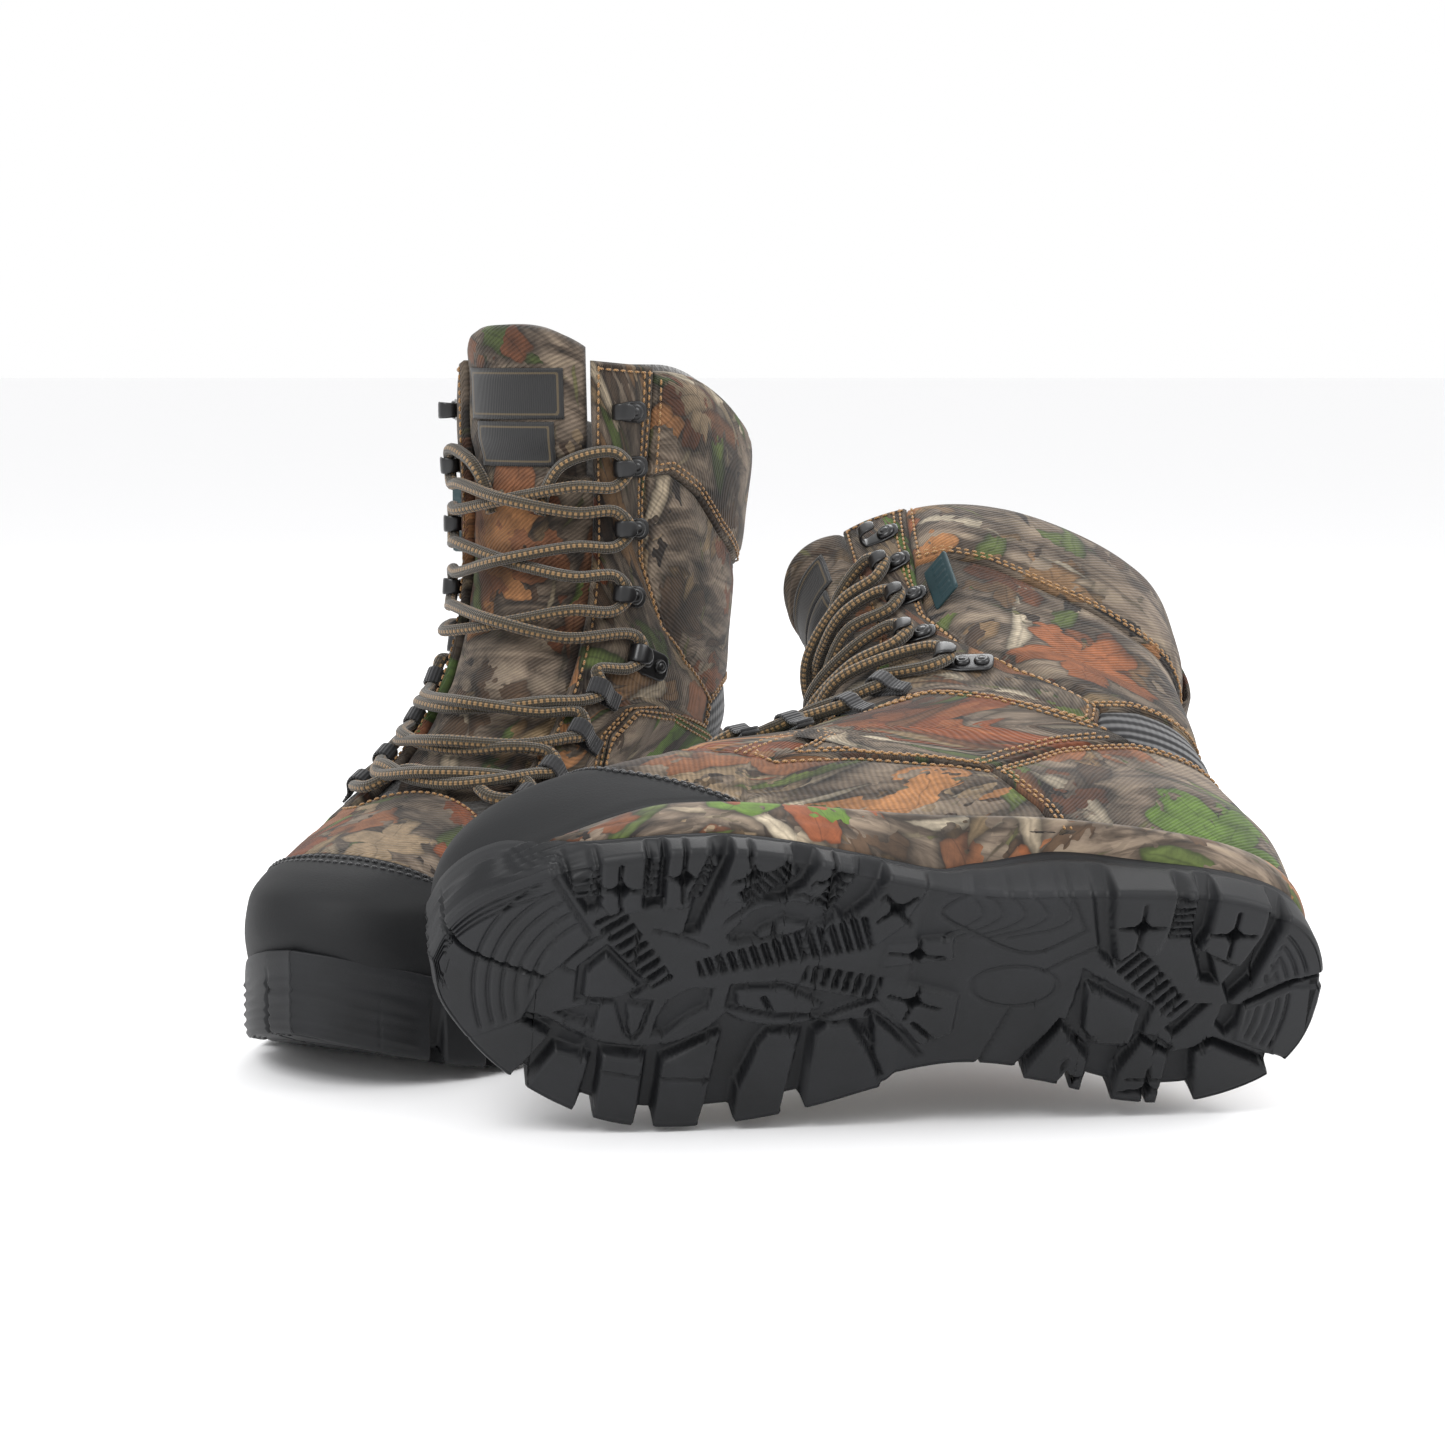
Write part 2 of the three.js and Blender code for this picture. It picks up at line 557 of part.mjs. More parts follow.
// ---------- materials ----------
const paint = (color, roughness, metalness = 0) => new THREE.MeshStandardMaterial({ color, roughness, metalness });
const MATERIALS = {
  rubber: paint(0x1d1e20, 0.75),
  capRubber: paint(0x26272a, 0.6),
  camo: paint(0x7a6650, 0.85),
  camoGreen: paint(0x66683f, 0.85),
  camoFoam: paint(0x84684a, 0.7),
  blackFabric: paint(0x1b1b1d, 0.9),
  lining: paint(0x3a3630, 0.95),
  board: paint(0x8f8675, 0.9),
  steel: paint(0x8b8f94, 0.4, 1),
  blackMetal: paint(0x141416, 0.35, 0.6),
  lace: paint(0x5a4a34, 0.9),
  teal: paint(0x23484c, 0.6),
};
const FINISH = {
  outsole: "rubber", midsole: "camoFoam", shank: "steel", insole_board: "board", footbed: "lining",
  toe_cap: "capRubber", vamp: "camo", quarter_outer: "camoGreen", quarter_inner: "camoGreen",
  heel_cover: "camo", facing_outer: "camo", facing_inner: "camo", achilles_flex: "blackFabric",
  shaft_panel: "camo", collar: "camo", toe_puff: "board", heel_stiffener: "board", bootie: "lining",
  tongue: "camo", tongue_top: "camo", tongue_label: "blackFabric", hooks_outer: "blackMetal",
  hooks_inner: "blackMetal", loops_outer: "blackFabric", loops_inner: "blackFabric",
  lock_hook_outer: "blackMetal", lock_hook_inner: "blackMetal", lace: "lace",
  pull_loop: "camo", side_tab: "teal",
};

// ---------- the pair ----------
const PIECES = {
  ...sole(), ...upperPanels(), ...insides(), ...tongue(), ...lacingHardware(), ...lace(), ...pullLoop(), ...sideTab(),
};

// One boot's meshes, each piece named with the boot's suffix.
function boot(suffix) {
  const group = new THREE.Group();
  for (const [name, manifold] of Object.entries(PIECES)) {
    const mesh = new THREE.Mesh(geometryOf(manifold), MATERIALS[FINISH[name]]);
    mesh.name = name + "_" + suffix;
    group.add(mesh);
  }
  return group;
}

// Placement of each boot: where its heel stands and which ways its toe and its top point.
const YAW = THREE.MathUtils.degToRad(28.5); // the right boot's toe turns this far outward
const ROLL = THREE.MathUtils.degToRad(26.3); // the lying boot's shaft rises this far
const SWING = THREE.MathUtils.degToRad(9.2); // its toe swings this far forward
const TILT = THREE.MathUtils.degToRad(3.3); // its toe lies this much higher than its heel
const RIGHT_HEEL = [-29.28, 192.64, 0];
const LEFT_HEEL = [198.72, -138.36, 43.43];

const right = boot("right");
right.rotation.z = -Math.PI / 2 - YAW;
right.position.set(...RIGHT_HEEL);

const left = boot("left");
const lying = new THREE.Matrix4().makeRotationZ(SWING);
lying.multiply(new THREE.Matrix4().makeRotationY(TILT));
lying.multiply(new THREE.Matrix4().makeRotationX(ROLL));
lying.multiply(
  new THREE.Matrix4().makeBasis(
    new THREE.Vector3(-1, 0, 0),
    new THREE.Vector3(0, 0, -1),
    new THREE.Vector3(0, 1, 0),
  ),
);
left.applyMatrix4(lying);
left.position.set(...LEFT_HEEL);

const pair = new THREE.Group();
pair.add(right, left);
export default pair;
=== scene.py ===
"""A pair of insulated hunting boots: the visible surfaces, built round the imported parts.

Every piece is worked out in a boot's own frame (x from heel to toe, y to the right boot's inner side,
z up, millimetres) and then placed. The left boot is the right one mirrored.
"""

import logging
from dataclasses import dataclass, field
from enum import Enum
from typing import Any, Callable, Sequence

import bmesh
import bpy
import numpy as np
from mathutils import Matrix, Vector


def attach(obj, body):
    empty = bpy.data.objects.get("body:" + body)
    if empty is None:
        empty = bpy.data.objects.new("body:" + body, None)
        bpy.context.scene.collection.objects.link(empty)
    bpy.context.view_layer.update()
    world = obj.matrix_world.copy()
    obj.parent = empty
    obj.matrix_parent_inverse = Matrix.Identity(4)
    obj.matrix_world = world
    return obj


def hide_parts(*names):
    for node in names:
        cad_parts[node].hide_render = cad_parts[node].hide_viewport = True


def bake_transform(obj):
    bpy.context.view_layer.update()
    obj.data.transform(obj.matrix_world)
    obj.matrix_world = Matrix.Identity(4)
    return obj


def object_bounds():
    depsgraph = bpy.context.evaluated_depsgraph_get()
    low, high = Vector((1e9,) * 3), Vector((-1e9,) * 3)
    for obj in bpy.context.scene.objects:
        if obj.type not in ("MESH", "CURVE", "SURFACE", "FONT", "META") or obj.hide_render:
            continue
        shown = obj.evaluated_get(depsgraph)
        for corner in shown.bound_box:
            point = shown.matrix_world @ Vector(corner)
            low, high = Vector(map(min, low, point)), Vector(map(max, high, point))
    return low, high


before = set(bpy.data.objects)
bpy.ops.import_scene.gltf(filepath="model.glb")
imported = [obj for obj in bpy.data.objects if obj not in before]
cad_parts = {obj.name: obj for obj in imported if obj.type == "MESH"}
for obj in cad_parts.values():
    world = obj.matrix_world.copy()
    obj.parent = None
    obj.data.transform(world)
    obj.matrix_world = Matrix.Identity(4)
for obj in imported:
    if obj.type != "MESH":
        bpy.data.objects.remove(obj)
CAD_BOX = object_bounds()
LOG = logging.getLogger("boots")
Array = np.ndarray
Table = Sequence[Sequence[float]]

LENGTH = 315.0  # outsole, heel to toe
SPRING_START = 225.0  # where the toe begins to rise
TONGUE_FOLD = 222.0  # height where the tongue's free part folds
TONGUE_TOP = 283.0
LACE_RADIUS = 2.3
HOOKS = (174.0, 201.0, 226.0, 249.0)
LOOPS = (97.0, 106.0, 120.0, 136.0)
LOCK = 149.0
HOOK_Y, LOOP_Y, LOCK_Y = 38.0, 37.0, 43.0
THROAT = 32.0  # half width of the lacing gap
PULL_Z = 184.0
LENS_MM, SENSOR_MM = 77.08, 36.0
CAMERA_PLACE = (-0.01328, -1.21636, 0.274)
CAMERA_DIP = 6.854  # degrees below level
WAVE = 0.31416  # a wave texture of scale one repeats after this length
TAB_Z = 202.0


# ---------- small tools ----------
@dataclass(frozen=True)
class Profile:
    """A smooth value through [t, value] points, level past both ends, that never overshoots a point."""

    points: tuple

    def __call__(self, t: Any) -> Array:
        """Cubic between points, with slopes that are harmonic means of the neighbouring chords.

        Args:
            t: where to read it, any shape.

        Returns:
            The values, in t's shape.
        """
        x, y = np.array(self.points, float).T
        h = np.diff(x)
        chord = np.diff(y) / h
        product = chord[:-1] * chord[1:]
        mean = np.where(product > 0, 2 * product / np.where(product > 0, chord[:-1] + chord[1:], 1), 0)
        slope = np.concatenate([chord[:1], mean, chord[-1:]])
        t = np.clip(np.asarray(t, float), x[0], x[-1])
        i = np.clip(np.searchsorted(x, t) - 1, 0, len(h) - 1)
        s = (t - x[i]) / h[i]
        rise = s * s * (3 - 2 * s)
        bend = h[i] * s * (1 - s) * ((1 - s) * slope[i] - s * slope[i + 1])
        return y[i] * (1 - rise) + y[i + 1] * rise + bend


def ease(low: float, high: float, value: Any) -> Array:
    """Smooth step from 0 at low to 1 at high."""
    t = np.clip((np.asarray(value, float) - low) / (high - low), 0, 1)
    return t * t * (3 - 2 * t)


def bell(value: Any, width: float) -> Array:
    """Gaussian hump of height one round a value of zero."""
    return np.exp(-((value / width) ** 2))


def merge(*parts: Any) -> Array:
    """Parts broadcast against each other and stacked along a new last axis."""
    return np.stack(np.broadcast_arrays(*parts), -1)


def unit(v: Array) -> Array:
    """Vectors scaled to length one."""
    return v / np.maximum(np.linalg.norm(v, axis=-1, keepdims=True), 1e-12)


def lengths(path: Array) -> Array:
    """Distance along a path at each of its points."""
    return np.concatenate([[0.0], np.cumsum(np.linalg.norm(np.diff(path, axis=0), axis=1))])


def resample(path: Array, at: Array) -> Array:
    """Points of a path at given shares of its length."""
    d = lengths(path)
    return np.stack([np.interp(at * d[-1], d, path[:, k]) for k in range(path.shape[1])], 1)


def rounded(path: Array, step: float) -> Array:
    """A curve through points (Catmull-Rom with centripetal spacing), sampled every step millimetres.

    Args:
        path: points it passes through, (n, 3) or (n, 2).
        step: spacing of the samples.

    Returns:
        The sampled points.
    """
    p = np.vstack([2 * path[0] - path[1], path, 2 * path[-1] - path[-2]])
    t = np.concatenate([[0.0], np.cumsum(np.sqrt(np.linalg.norm(np.diff(p, axis=0), axis=1)))])
    fine = np.linspace(t[1], t[-2], 40 * len(path))
    i = np.clip(np.searchsorted(t, fine) - 1, 1, len(p) - 3)
    t0, t1, t2, t3 = (t[i + k][:, None] for k in (-1, 0, 1, 2))
    f = fine[:, None]
    a1 = (t1 - f) / (t1 - t0) * p[i - 1] + (f - t0) / (t1 - t0) * p[i]
    a2 = (t2 - f) / (t2 - t1) * p[i] + (f - t1) / (t2 - t1) * p[i + 1]
    a3 = (t3 - f) / (t3 - t2) * p[i + 1] + (f - t2) / (t3 - t2) * p[i + 2]
    b1 = (t2 - f) / (t2 - t0) * a1 + (f - t0) / (t2 - t0) * a2
    b2 = (t3 - f) / (t3 - t1) * a2 + (f - t1) / (t3 - t1) * a3
    curve = (t2 - f) / (t2 - t1) * b1 + (f - t1) / (t2 - t1) * b2
    count = max(3, int(lengths(curve)[-1] / step))
    return resample(curve, np.linspace(0, 1, count))


def ripple(points: Array, size: float, seed: float) -> Array:
    """Soft unevenness from -1 to 1: a sum of five sine waves that run different ways, size apart."""
    turns = np.array([[1, .3, .2], [-.4, 1, .5], [.3, -.6, 1], [.8, .7, -.5], [-.9, .2, .8]])
    phase = seed * np.arange(1, 6) * 1.7
    return np.sin(points @ turns.T * (2 * np.pi / size) + phase).sum(-1) / 3


# ---------- meshes ----------
def quads(rows: int, cols: int, first: int = 0) -> Array:
    """Faces of a grid of rows by cols vertices that starts at vertex first."""
    k = first + np.arange(rows * cols).reshape(rows, cols)
    return np.stack([k[:-1, :-1], k[1:, :-1], k[1:, 1:], k[:-1, 1:]], -1).reshape(-1, 4)


@dataclass
class Mesh:
    """Grids of points gathered into one mesh, each with its own flat coordinates in millimetres."""

    points: list = field(default_factory=list)
    flat: list = field(default_factory=list)
    faces: list = field(default_factory=list)
    edge: list = field(default_factory=list)
    count: int = 0

    def grid(self, p: Array, flat: Array | None = None, edge: Array | None = None,
             turn: bool = False) -> None:
        """Adds a grid of quads.

        Args:
            p: points, (rows, cols, 3).
            flat: flat coordinates, (rows, cols, 2); laid out by length if left out.
            edge: distance from the piece's edge, (rows, cols).
            turn: reverse the faces.
        """
        rows, cols = p.shape[:2]
        f = quads(rows, cols, self.count)
        self.faces.append(f[:, ::-1] if turn else f)
        self.points.append(p.reshape(-1, 3))
        self.flat.append((metric(p) if flat is None else flat).reshape(-1, 2))
        self.edge.append(np.full(rows * cols, 99.0) if edge is None else edge.ravel())
        self.count += rows * cols

    def slab(self, outer: Array, inner: Array, flat: Array | None = None,
             edge: Array | None = None) -> None:
        """Adds a closed sheet: its face, its back, and strips between their borders."""
        flat = metric(outer) if flat is None else flat
        edge = np.full(outer.shape[:2], 99.0) if edge is None else edge
        self.grid(outer, flat, edge)
        self.grid(inner, flat, edge, turn=True)
        for cut in (np.s_[:, 0], np.s_[-1, :], np.s_[::-1, -1], np.s_[0, ::-1]):
            strip = np.stack([inner[cut], outer[cut]], 1)
            self.grid(strip, np.stack([flat[cut]] * 2, 1), np.stack([edge[cut]] * 2, 1))

    def stamp(self, shape: Array, faces: Array, flat: Array, centres: Array, axes: Array) -> None:
        """Adds copies of one small shape.

        Args:
            shape: its points, (n, 3).
            faces: its quads.
            flat: its flat coordinates, (n, 2).
            centres: place of each copy, (m, 3).
            axes: each copy's three axes as rows, (m, 3, 3).
        """
        made = np.einsum("nk,mkj->mnj", shape, axes) + centres[:, None]
        m, n = made.shape[:2]
        step = (np.arange(m) * n + self.count)[:, None, None]
        self.points.append(made.reshape(-1, 3))
        self.faces.append((faces[None] + step).reshape(-1, 4))
        shift = np.stack([np.arange(m) * 7.3, np.arange(m) * 3.1], 1)
        self.flat.append((flat[None] + shift[:, None]).reshape(-1, 2))
        self.edge.append(np.full(m * n, 99.0))
        self.count += m * n

    def tube(self, path: Array, radius: Any, sides: int = 10, squash: float = 1.0,
             up: Array | None = None) -> None:
        """Adds a round cord: rings square to the path, closed by a point at each end.

        Args:
            path: points along its middle, (n, 3).
            radius: one radius, or one for each point.
            sides: points in a ring.
            squash: share of the radius that is left along up.
            up: a direction for the rings to keep near.
        """
        t = unit(np.gradient(path, axis=0))
        side = np.cross(t, np.array([0.31, 0.2, 0.93]) if up is None else up)
        side = unit(side)
        other = np.cross(t, side)
        angle = np.linspace(0, 2 * np.pi, sides + 1)
        r = np.broadcast_to(np.asarray(radius, float), (len(path),))[:, None, None]
        ring = side[:, None] * np.cos(angle)[None, :, None] + squash * other[:, None] * np.sin(angle)[None,
            :, None]
        body = path[:, None] + r * ring
        body = np.concatenate([np.repeat(path[:1, None], sides + 1, 1), body,
                               np.repeat(path[-1:, None], sides + 1, 1)])
        along = lengths(path)
        along = np.concatenate([along[:1], along, along[-1:]])
        flat = merge(along[:, None], angle[None] * float(np.max(radius)))
        self.grid(body, flat)

    def make(self, name: str, place: "Placement", finish: Any, weld: float = 1e-6) -> bpy.types.Object:
        """Turns the grids into an object in the pair's frame, with faces that point outwards.

        Args:
            name: the piece's name, without its boot.
            place: the boot's placement.
            finish: its material.
            weld: points this close, in metres, become one.

        Returns:
            The new object, at the origin.
        """
        points = place.to_frame(np.concatenate(self.points))
        faces = np.concatenate(self.faces)
        a, b, c, d = (points[faces[:, k]] for k in range(4))
        volume = np.einsum("ij,ij->i", a, np.cross(b, c) + np.cross(c, d)).sum()
        if volume < 0:
            faces = faces[:, ::-1]
        data = bpy.data.meshes.new(f"{name}_{place.name}")
        data.from_pydata(points.tolist(), [], faces.tolist())
        corners = faces.ravel()
        layer = data.uv_layers.new(name="UVMap")
        layer.data.foreach_set("uv", np.concatenate(self.flat)[corners].astype(np.float32).ravel())
        rim = data.attributes.new("edge", "FLOAT", "POINT")
        rim.data.foreach_set("value", np.concatenate(self.edge).astype(np.float32))
        work = bmesh.new()
        work.from_mesh(data)
        bmesh.ops.remove_doubles(work, verts=work.verts, dist=weld)
        bmesh.ops.dissolve_degenerate(work, edges=work.edges, dist=weld / 2)
        work.to_mesh(data)
        work.free()
        data.polygons.foreach_set("use_smooth", np.ones(len(data.polygons), bool))
        made = bpy.data.objects.new(data.name, data)
        bpy.context.scene.collection.objects.link(made)
        data.materials.append(finish)
        LOG.info("%s: %d faces", made.name, len(data.polygons))
        return made


def metric(p: Array) -> Array:
    """Flat coordinates of a grid by its own lengths, counted from the middle row and column."""
    du = np.linalg.norm(np.diff(p, axis=0), axis=-1)
    dv = np.linalg.norm(np.diff(p, axis=1), axis=-1)
    u = np.concatenate([np.zeros((1, p.shape[1])), np.cumsum(du, 0)])
    v = np.concatenate([np.zeros((p.shape[0], 1)), np.cumsum(dv, 1)], 1)
    return np.stack([u - u[len(u) // 2], v - v[:, v.shape[1] // 2, None]], -1)


# ---------- placement ----------
def turn(axis: str, degrees: float) -> Array:
    """Rotation matrix about one axis of the pair's frame."""
    c, s = np.cos(np.deg2rad(degrees)), np.sin(np.deg2rad(degrees))
    return np.array({
        "x": [[1, 0, 0], [0, c, -s], [0, s, c]],
        "y": [[c, 0, s], [0, 1, 0], [-s, 0, c]],
        "z": [[c, -s, 0], [s, c, 0], [0, 0, 1]],
    }[axis], float)


@dataclass(frozen=True)
class Placement:
    """Where a boot's own frame lies in the pair's frame: its axes as columns and its heel, in mm."""

    name: str
    axes: Array
    heel: Array
    print_shift: float  # moves the printed pattern, so that the two boots are cut from different cloth

    def to_frame(self, points: Array) -> Array:
        """Points in the pair's frame, in metres."""
        return (points @ self.axes.T + self.heel) / 1000

    def body(self, part: str = "boot") -> str:
        """Name of one of the boot's bodies."""
        return f"{self.name}_{part}"


RIGHT = Placement("right", turn("z", -118.5), np.array([-29.28, 192.64, 0.0]), 0.0)
LEFT = Placement(
    "left",
    turn("z", 9.2) @ turn("y", 3.3) @ turn("x", 26.3) @ np.array([[-1, 0, 0], [0, 0, 1], [0, -1, 0]],
        float),
    np.array([198.72, -138.36, 43.43]),
    431.0,
)


# ---------- the boot's shape ----------
@dataclass(frozen=True)
class Upper:
    """The upper's outer surface as a function of the angle round the boot from the toe, and the height.

    At each height it is a superellipse that reaches from back to front, with its widest place at middle.
    """

    front: Profile = Profile((
        (30, 307), (45, 311), (58, 308), (70, 296), (80, 276), (88, 252), (95, 230), (104, 210), (118, 191),
        (135, 175), (152, 163), (170, 155), (190, 150), (215, 148), (240, 149), (285, 152)))
    back: Profile = Profile(((30, 4), (60, 2), (85, 6), (110, 11), (135, 12), (165, 11), (200, 7),
                             (235, 3), (285, 1)))
    middle: Profile = Profile(((30, 208), (60, 205), (80, 190), (100, 150), (120, 110), (140, 92),
                               (170, 82), (285, 76)))
    outer: Profile = Profile((
        (30, 54), (60, 54), (80, 50), (100, 47), (120, 46), (140, 46), (170, 48), (200, 50), (240, 53),
        (285, 51)))
    inner: Profile = Profile((
        (30, 56), (60, 55), (80, 51), (100, 50), (120, 49), (140, 49), (170, 50), (200, 52), (240, 54),
        (285, 51)))
    toe_shift: Profile = Profile(((30, 7), (60, 7), (90, 4), (110, 0)))
    square_front: Profile = Profile(((30, 2.3), (80, 2.2), (120, 2.1)))
    square_back: Profile = Profile(((30, 3.5), (60, 3.3), (85, 3.0), (115, 2.6), (150, 2.4)))
    rise: Profile = Profile(((0, 22), (12, 20), (30, 17), (80, 9), (100, 0)))
    waist: Profile = Profile(((30, 1), (60, 0.7), (100, 0)))

    def spring(self, x: Any, z: Any) -> Array:
        """Rise of the toe."""
        t = np.maximum(0, (np.asarray(x, float) - SPRING_START) / (LENGTH - SPRING_START))
        return self.rise(z) * t * t

    def point(self, phi: Any, z: Any) -> Array:
        """Point of the surface: x and y follow the superellipse's power curves, pulled in at the waist.

        Args:
            phi: angle from the toe, negative to the outer side.
            z: height before the toe's rise.

        Returns:
            Points, in the inputs' shape with a last axis of three.
        """
        phi, z = np.broadcast_arrays(np.asarray(phi, float), np.asarray(z, float))
        c, s = np.cos(phi), np.sin(phi)
        ahead = c > 0
        n = np.where(ahead, self.square_front(z), self.square_back(z))
        middle = self.middle(z)
        reach = np.where(ahead, self.front(z) - middle, middle - self.back(z))
        x = middle + reach * np.sign(c) * np.abs(c) ** (2 / n)
        pull = bell(x - 125, 48) * self.waist(z) * np.where(s > 0, 0.2, 0.08)
        half = np.where(s > 0, self.inner(z), self.outer(z)) * (1 - pull)
        t = np.maximum(0, (x - middle) / reach)
        y = half * np.sign(s) * np.abs(s) ** (2 / n) + self.toe_shift(z) * t * t
        return np.stack([x, y, z + self.spring(x, z)], -1)

    def normal(self, phi: Any, z: Any) -> Array:
        """Outward normal, from small steps along and up the surface."""
        across = self.point(phi + 0.03, z) - self.point(phi - 0.03, z)
        up = self.point(phi, z + 2.0) - self.point(phi, z - 2.0)
        return unit(np.cross(across, up))

    def offset(self, phi: Any, z: Any, off: Any) -> Array:
        """Point that stands off the surface along its normal."""
        return self.point(phi, z) + self.normal(phi, z) * np.asarray(off, float)[..., None]

    def level(self, x: Array, z: Array) -> Array:
        """Height before the toe's rise of a point seen at x, z from the side."""
        z0 = z - self.spring(x, z)
        return z - self.spring(x, z0)

    def angle(self, x: Array, z: Array) -> Array:
        """Angle from the toe at which the surface reaches x at height z, from 0 to pi."""
        middle = self.middle(z)
        ahead = x > middle
        reach = np.where(ahead, self.front(z) - middle, middle - self.back(z))
        n = np.where(ahead, self.square_front(z), self.square_back(z))
        share = np.clip(np.abs(x - middle) / reach, 0, 1)
        return np.arccos(np.sign(x - middle) * share ** (n / 2))

    def angle_at(self, y: Any, z: Any) -> Array:
        """Angle from the toe at which the front half reaches y at height z."""
        half = np.where(np.asarray(y) > 0, self.inner(z), self.outer(z))
        share = np.minimum(0.999, (np.abs(y) / half) ** (self.square_front(z) / 2))
        return np.sign(y) * np.arcsin(share)

    def face(self, y: Any, z: Any, off: Any) -> Array:
        """Point on the front of the boot by its y and height."""
        y, z, off = np.broadcast_arrays(*(np.asarray(v, float) for v in (y, z, off)))
        return self.offset(self.angle_at(y, z), z, off)

    def collar(self, phi: Any) -> Array:
        """Height of the collar's edge, 241 at the heel and 270 at the facings."""
        return 241 + 29 * ease(8, 106, self.point(phi, 235.0)[..., 0])

    def trace(self, line: Table, side: int) -> Array:
        """A border drawn in the side view, as angles and heights on one side of the boot.

        Args:
            line: [x, z] points joined by straight lines.
            side: -1 for the outer side, 1 for the inner.

        Returns:
            (n, 2) angles and heights. It stops where the line leaves the boot's outline.
        """
        p = resample(np.array(line, float), np.linspace(0, 1, 400))
        z = self.level(p[:, 0], p[:, 1])
        on = (p[:, 0] > self.back(z) + 1e-3) & (p[:, 0] < self.front(z) - 1e-3)
        a = self.angle(p[:, 0], z)
        made = np.stack([a, z], 1)[on]
        if not on[-1]:
            end = np.pi if p[-1, 0] < 150 else 0.0
            made = np.vstack([made, [end, made[-1, 1]]])
        made[:, 0] *= side
        return made

    def over_back(self, line: Table) -> Array:
        """A border that runs back along the outer side, round the heel and forward along the inner one."""
        out = self.trace(line, -1)
        back = out[::-1].copy()
        back[:, 0] = -2 * np.pi - back[:, 0]
        return np.vstack([out, back[1:]])

    def over_front(self, line: Table) -> Array:
        """A border that runs forward along the outer side, over the toe and back along the inner one."""
        out = self.trace(line, -1)
        back = out[::-1].copy()
        back[:, 0] *= -1
        return np.vstack([out, back[1:]])


UPPER = Upper()


def lifted(plan: Array, z: Any) -> Array:
    """Points over a plan at heights z, raised with the toe."""
    return np.concatenate([plan, (z + UPPER.spring(plan[..., 0], z))[..., None]], -1)


# ---------- finishes ----------
def linear(code: str) -> tuple:
    """A colour as linear light from its sRGB hex code."""
    c = np.array([int(code[k:k + 2], 16) for k in (1, 3, 5)]) / 255
    c = np.where(c <= 0.04045, c / 12.92, ((c + 0.055) / 1.055) ** 2.4)
    return (*c.tolist(), 1.0)


def add(tree: bpy.types.NodeTree, kind: str, inputs: dict | None = None,
        **settings: Any) -> bpy.types.NodeSocket:
    """Adds one node and links it.

    Args:
        tree: the node tree.
        kind: the node's type, without its ShaderNode start.
        inputs: socket name or number to a value, a socket, a colour's hex code, or a formula
            (operation, a, b, c) of Math nodes.
        settings: the node's own settings.

    Returns:
        The node's first live output, or the node itself if it has none.
    """
    node = tree.nodes.new("ShaderNode" + kind)
    for key, value in ({"data_type": "RGBA"} | settings if kind == "Mix" else settings).items():
        setattr(node, key, value)
    for key, value in (inputs or {}).items():
        value = linear(value) if isinstance(value, str) else value
        if isinstance(key, int):
            into = node.inputs[key]
        else:
            into = next(s for s in node.inputs if s.name == key and s.enabled)
        if isinstance(value, tuple) and isinstance(value[0], str):
            value = add(tree, "Math", dict(enumerate(value[1:])), operation=value[0])
        if isinstance(value, bpy.types.NodeSocket):
            tree.links.new(value, into)
        else:
            into.default_value = value
    return next((s for s in node.outputs if s.enabled), node)


class Leaf(Enum):
    """Outlines that the printed cloth repeats."""

    LOBED = "lobed_leaf"
    BLADE = "blade_leaf"


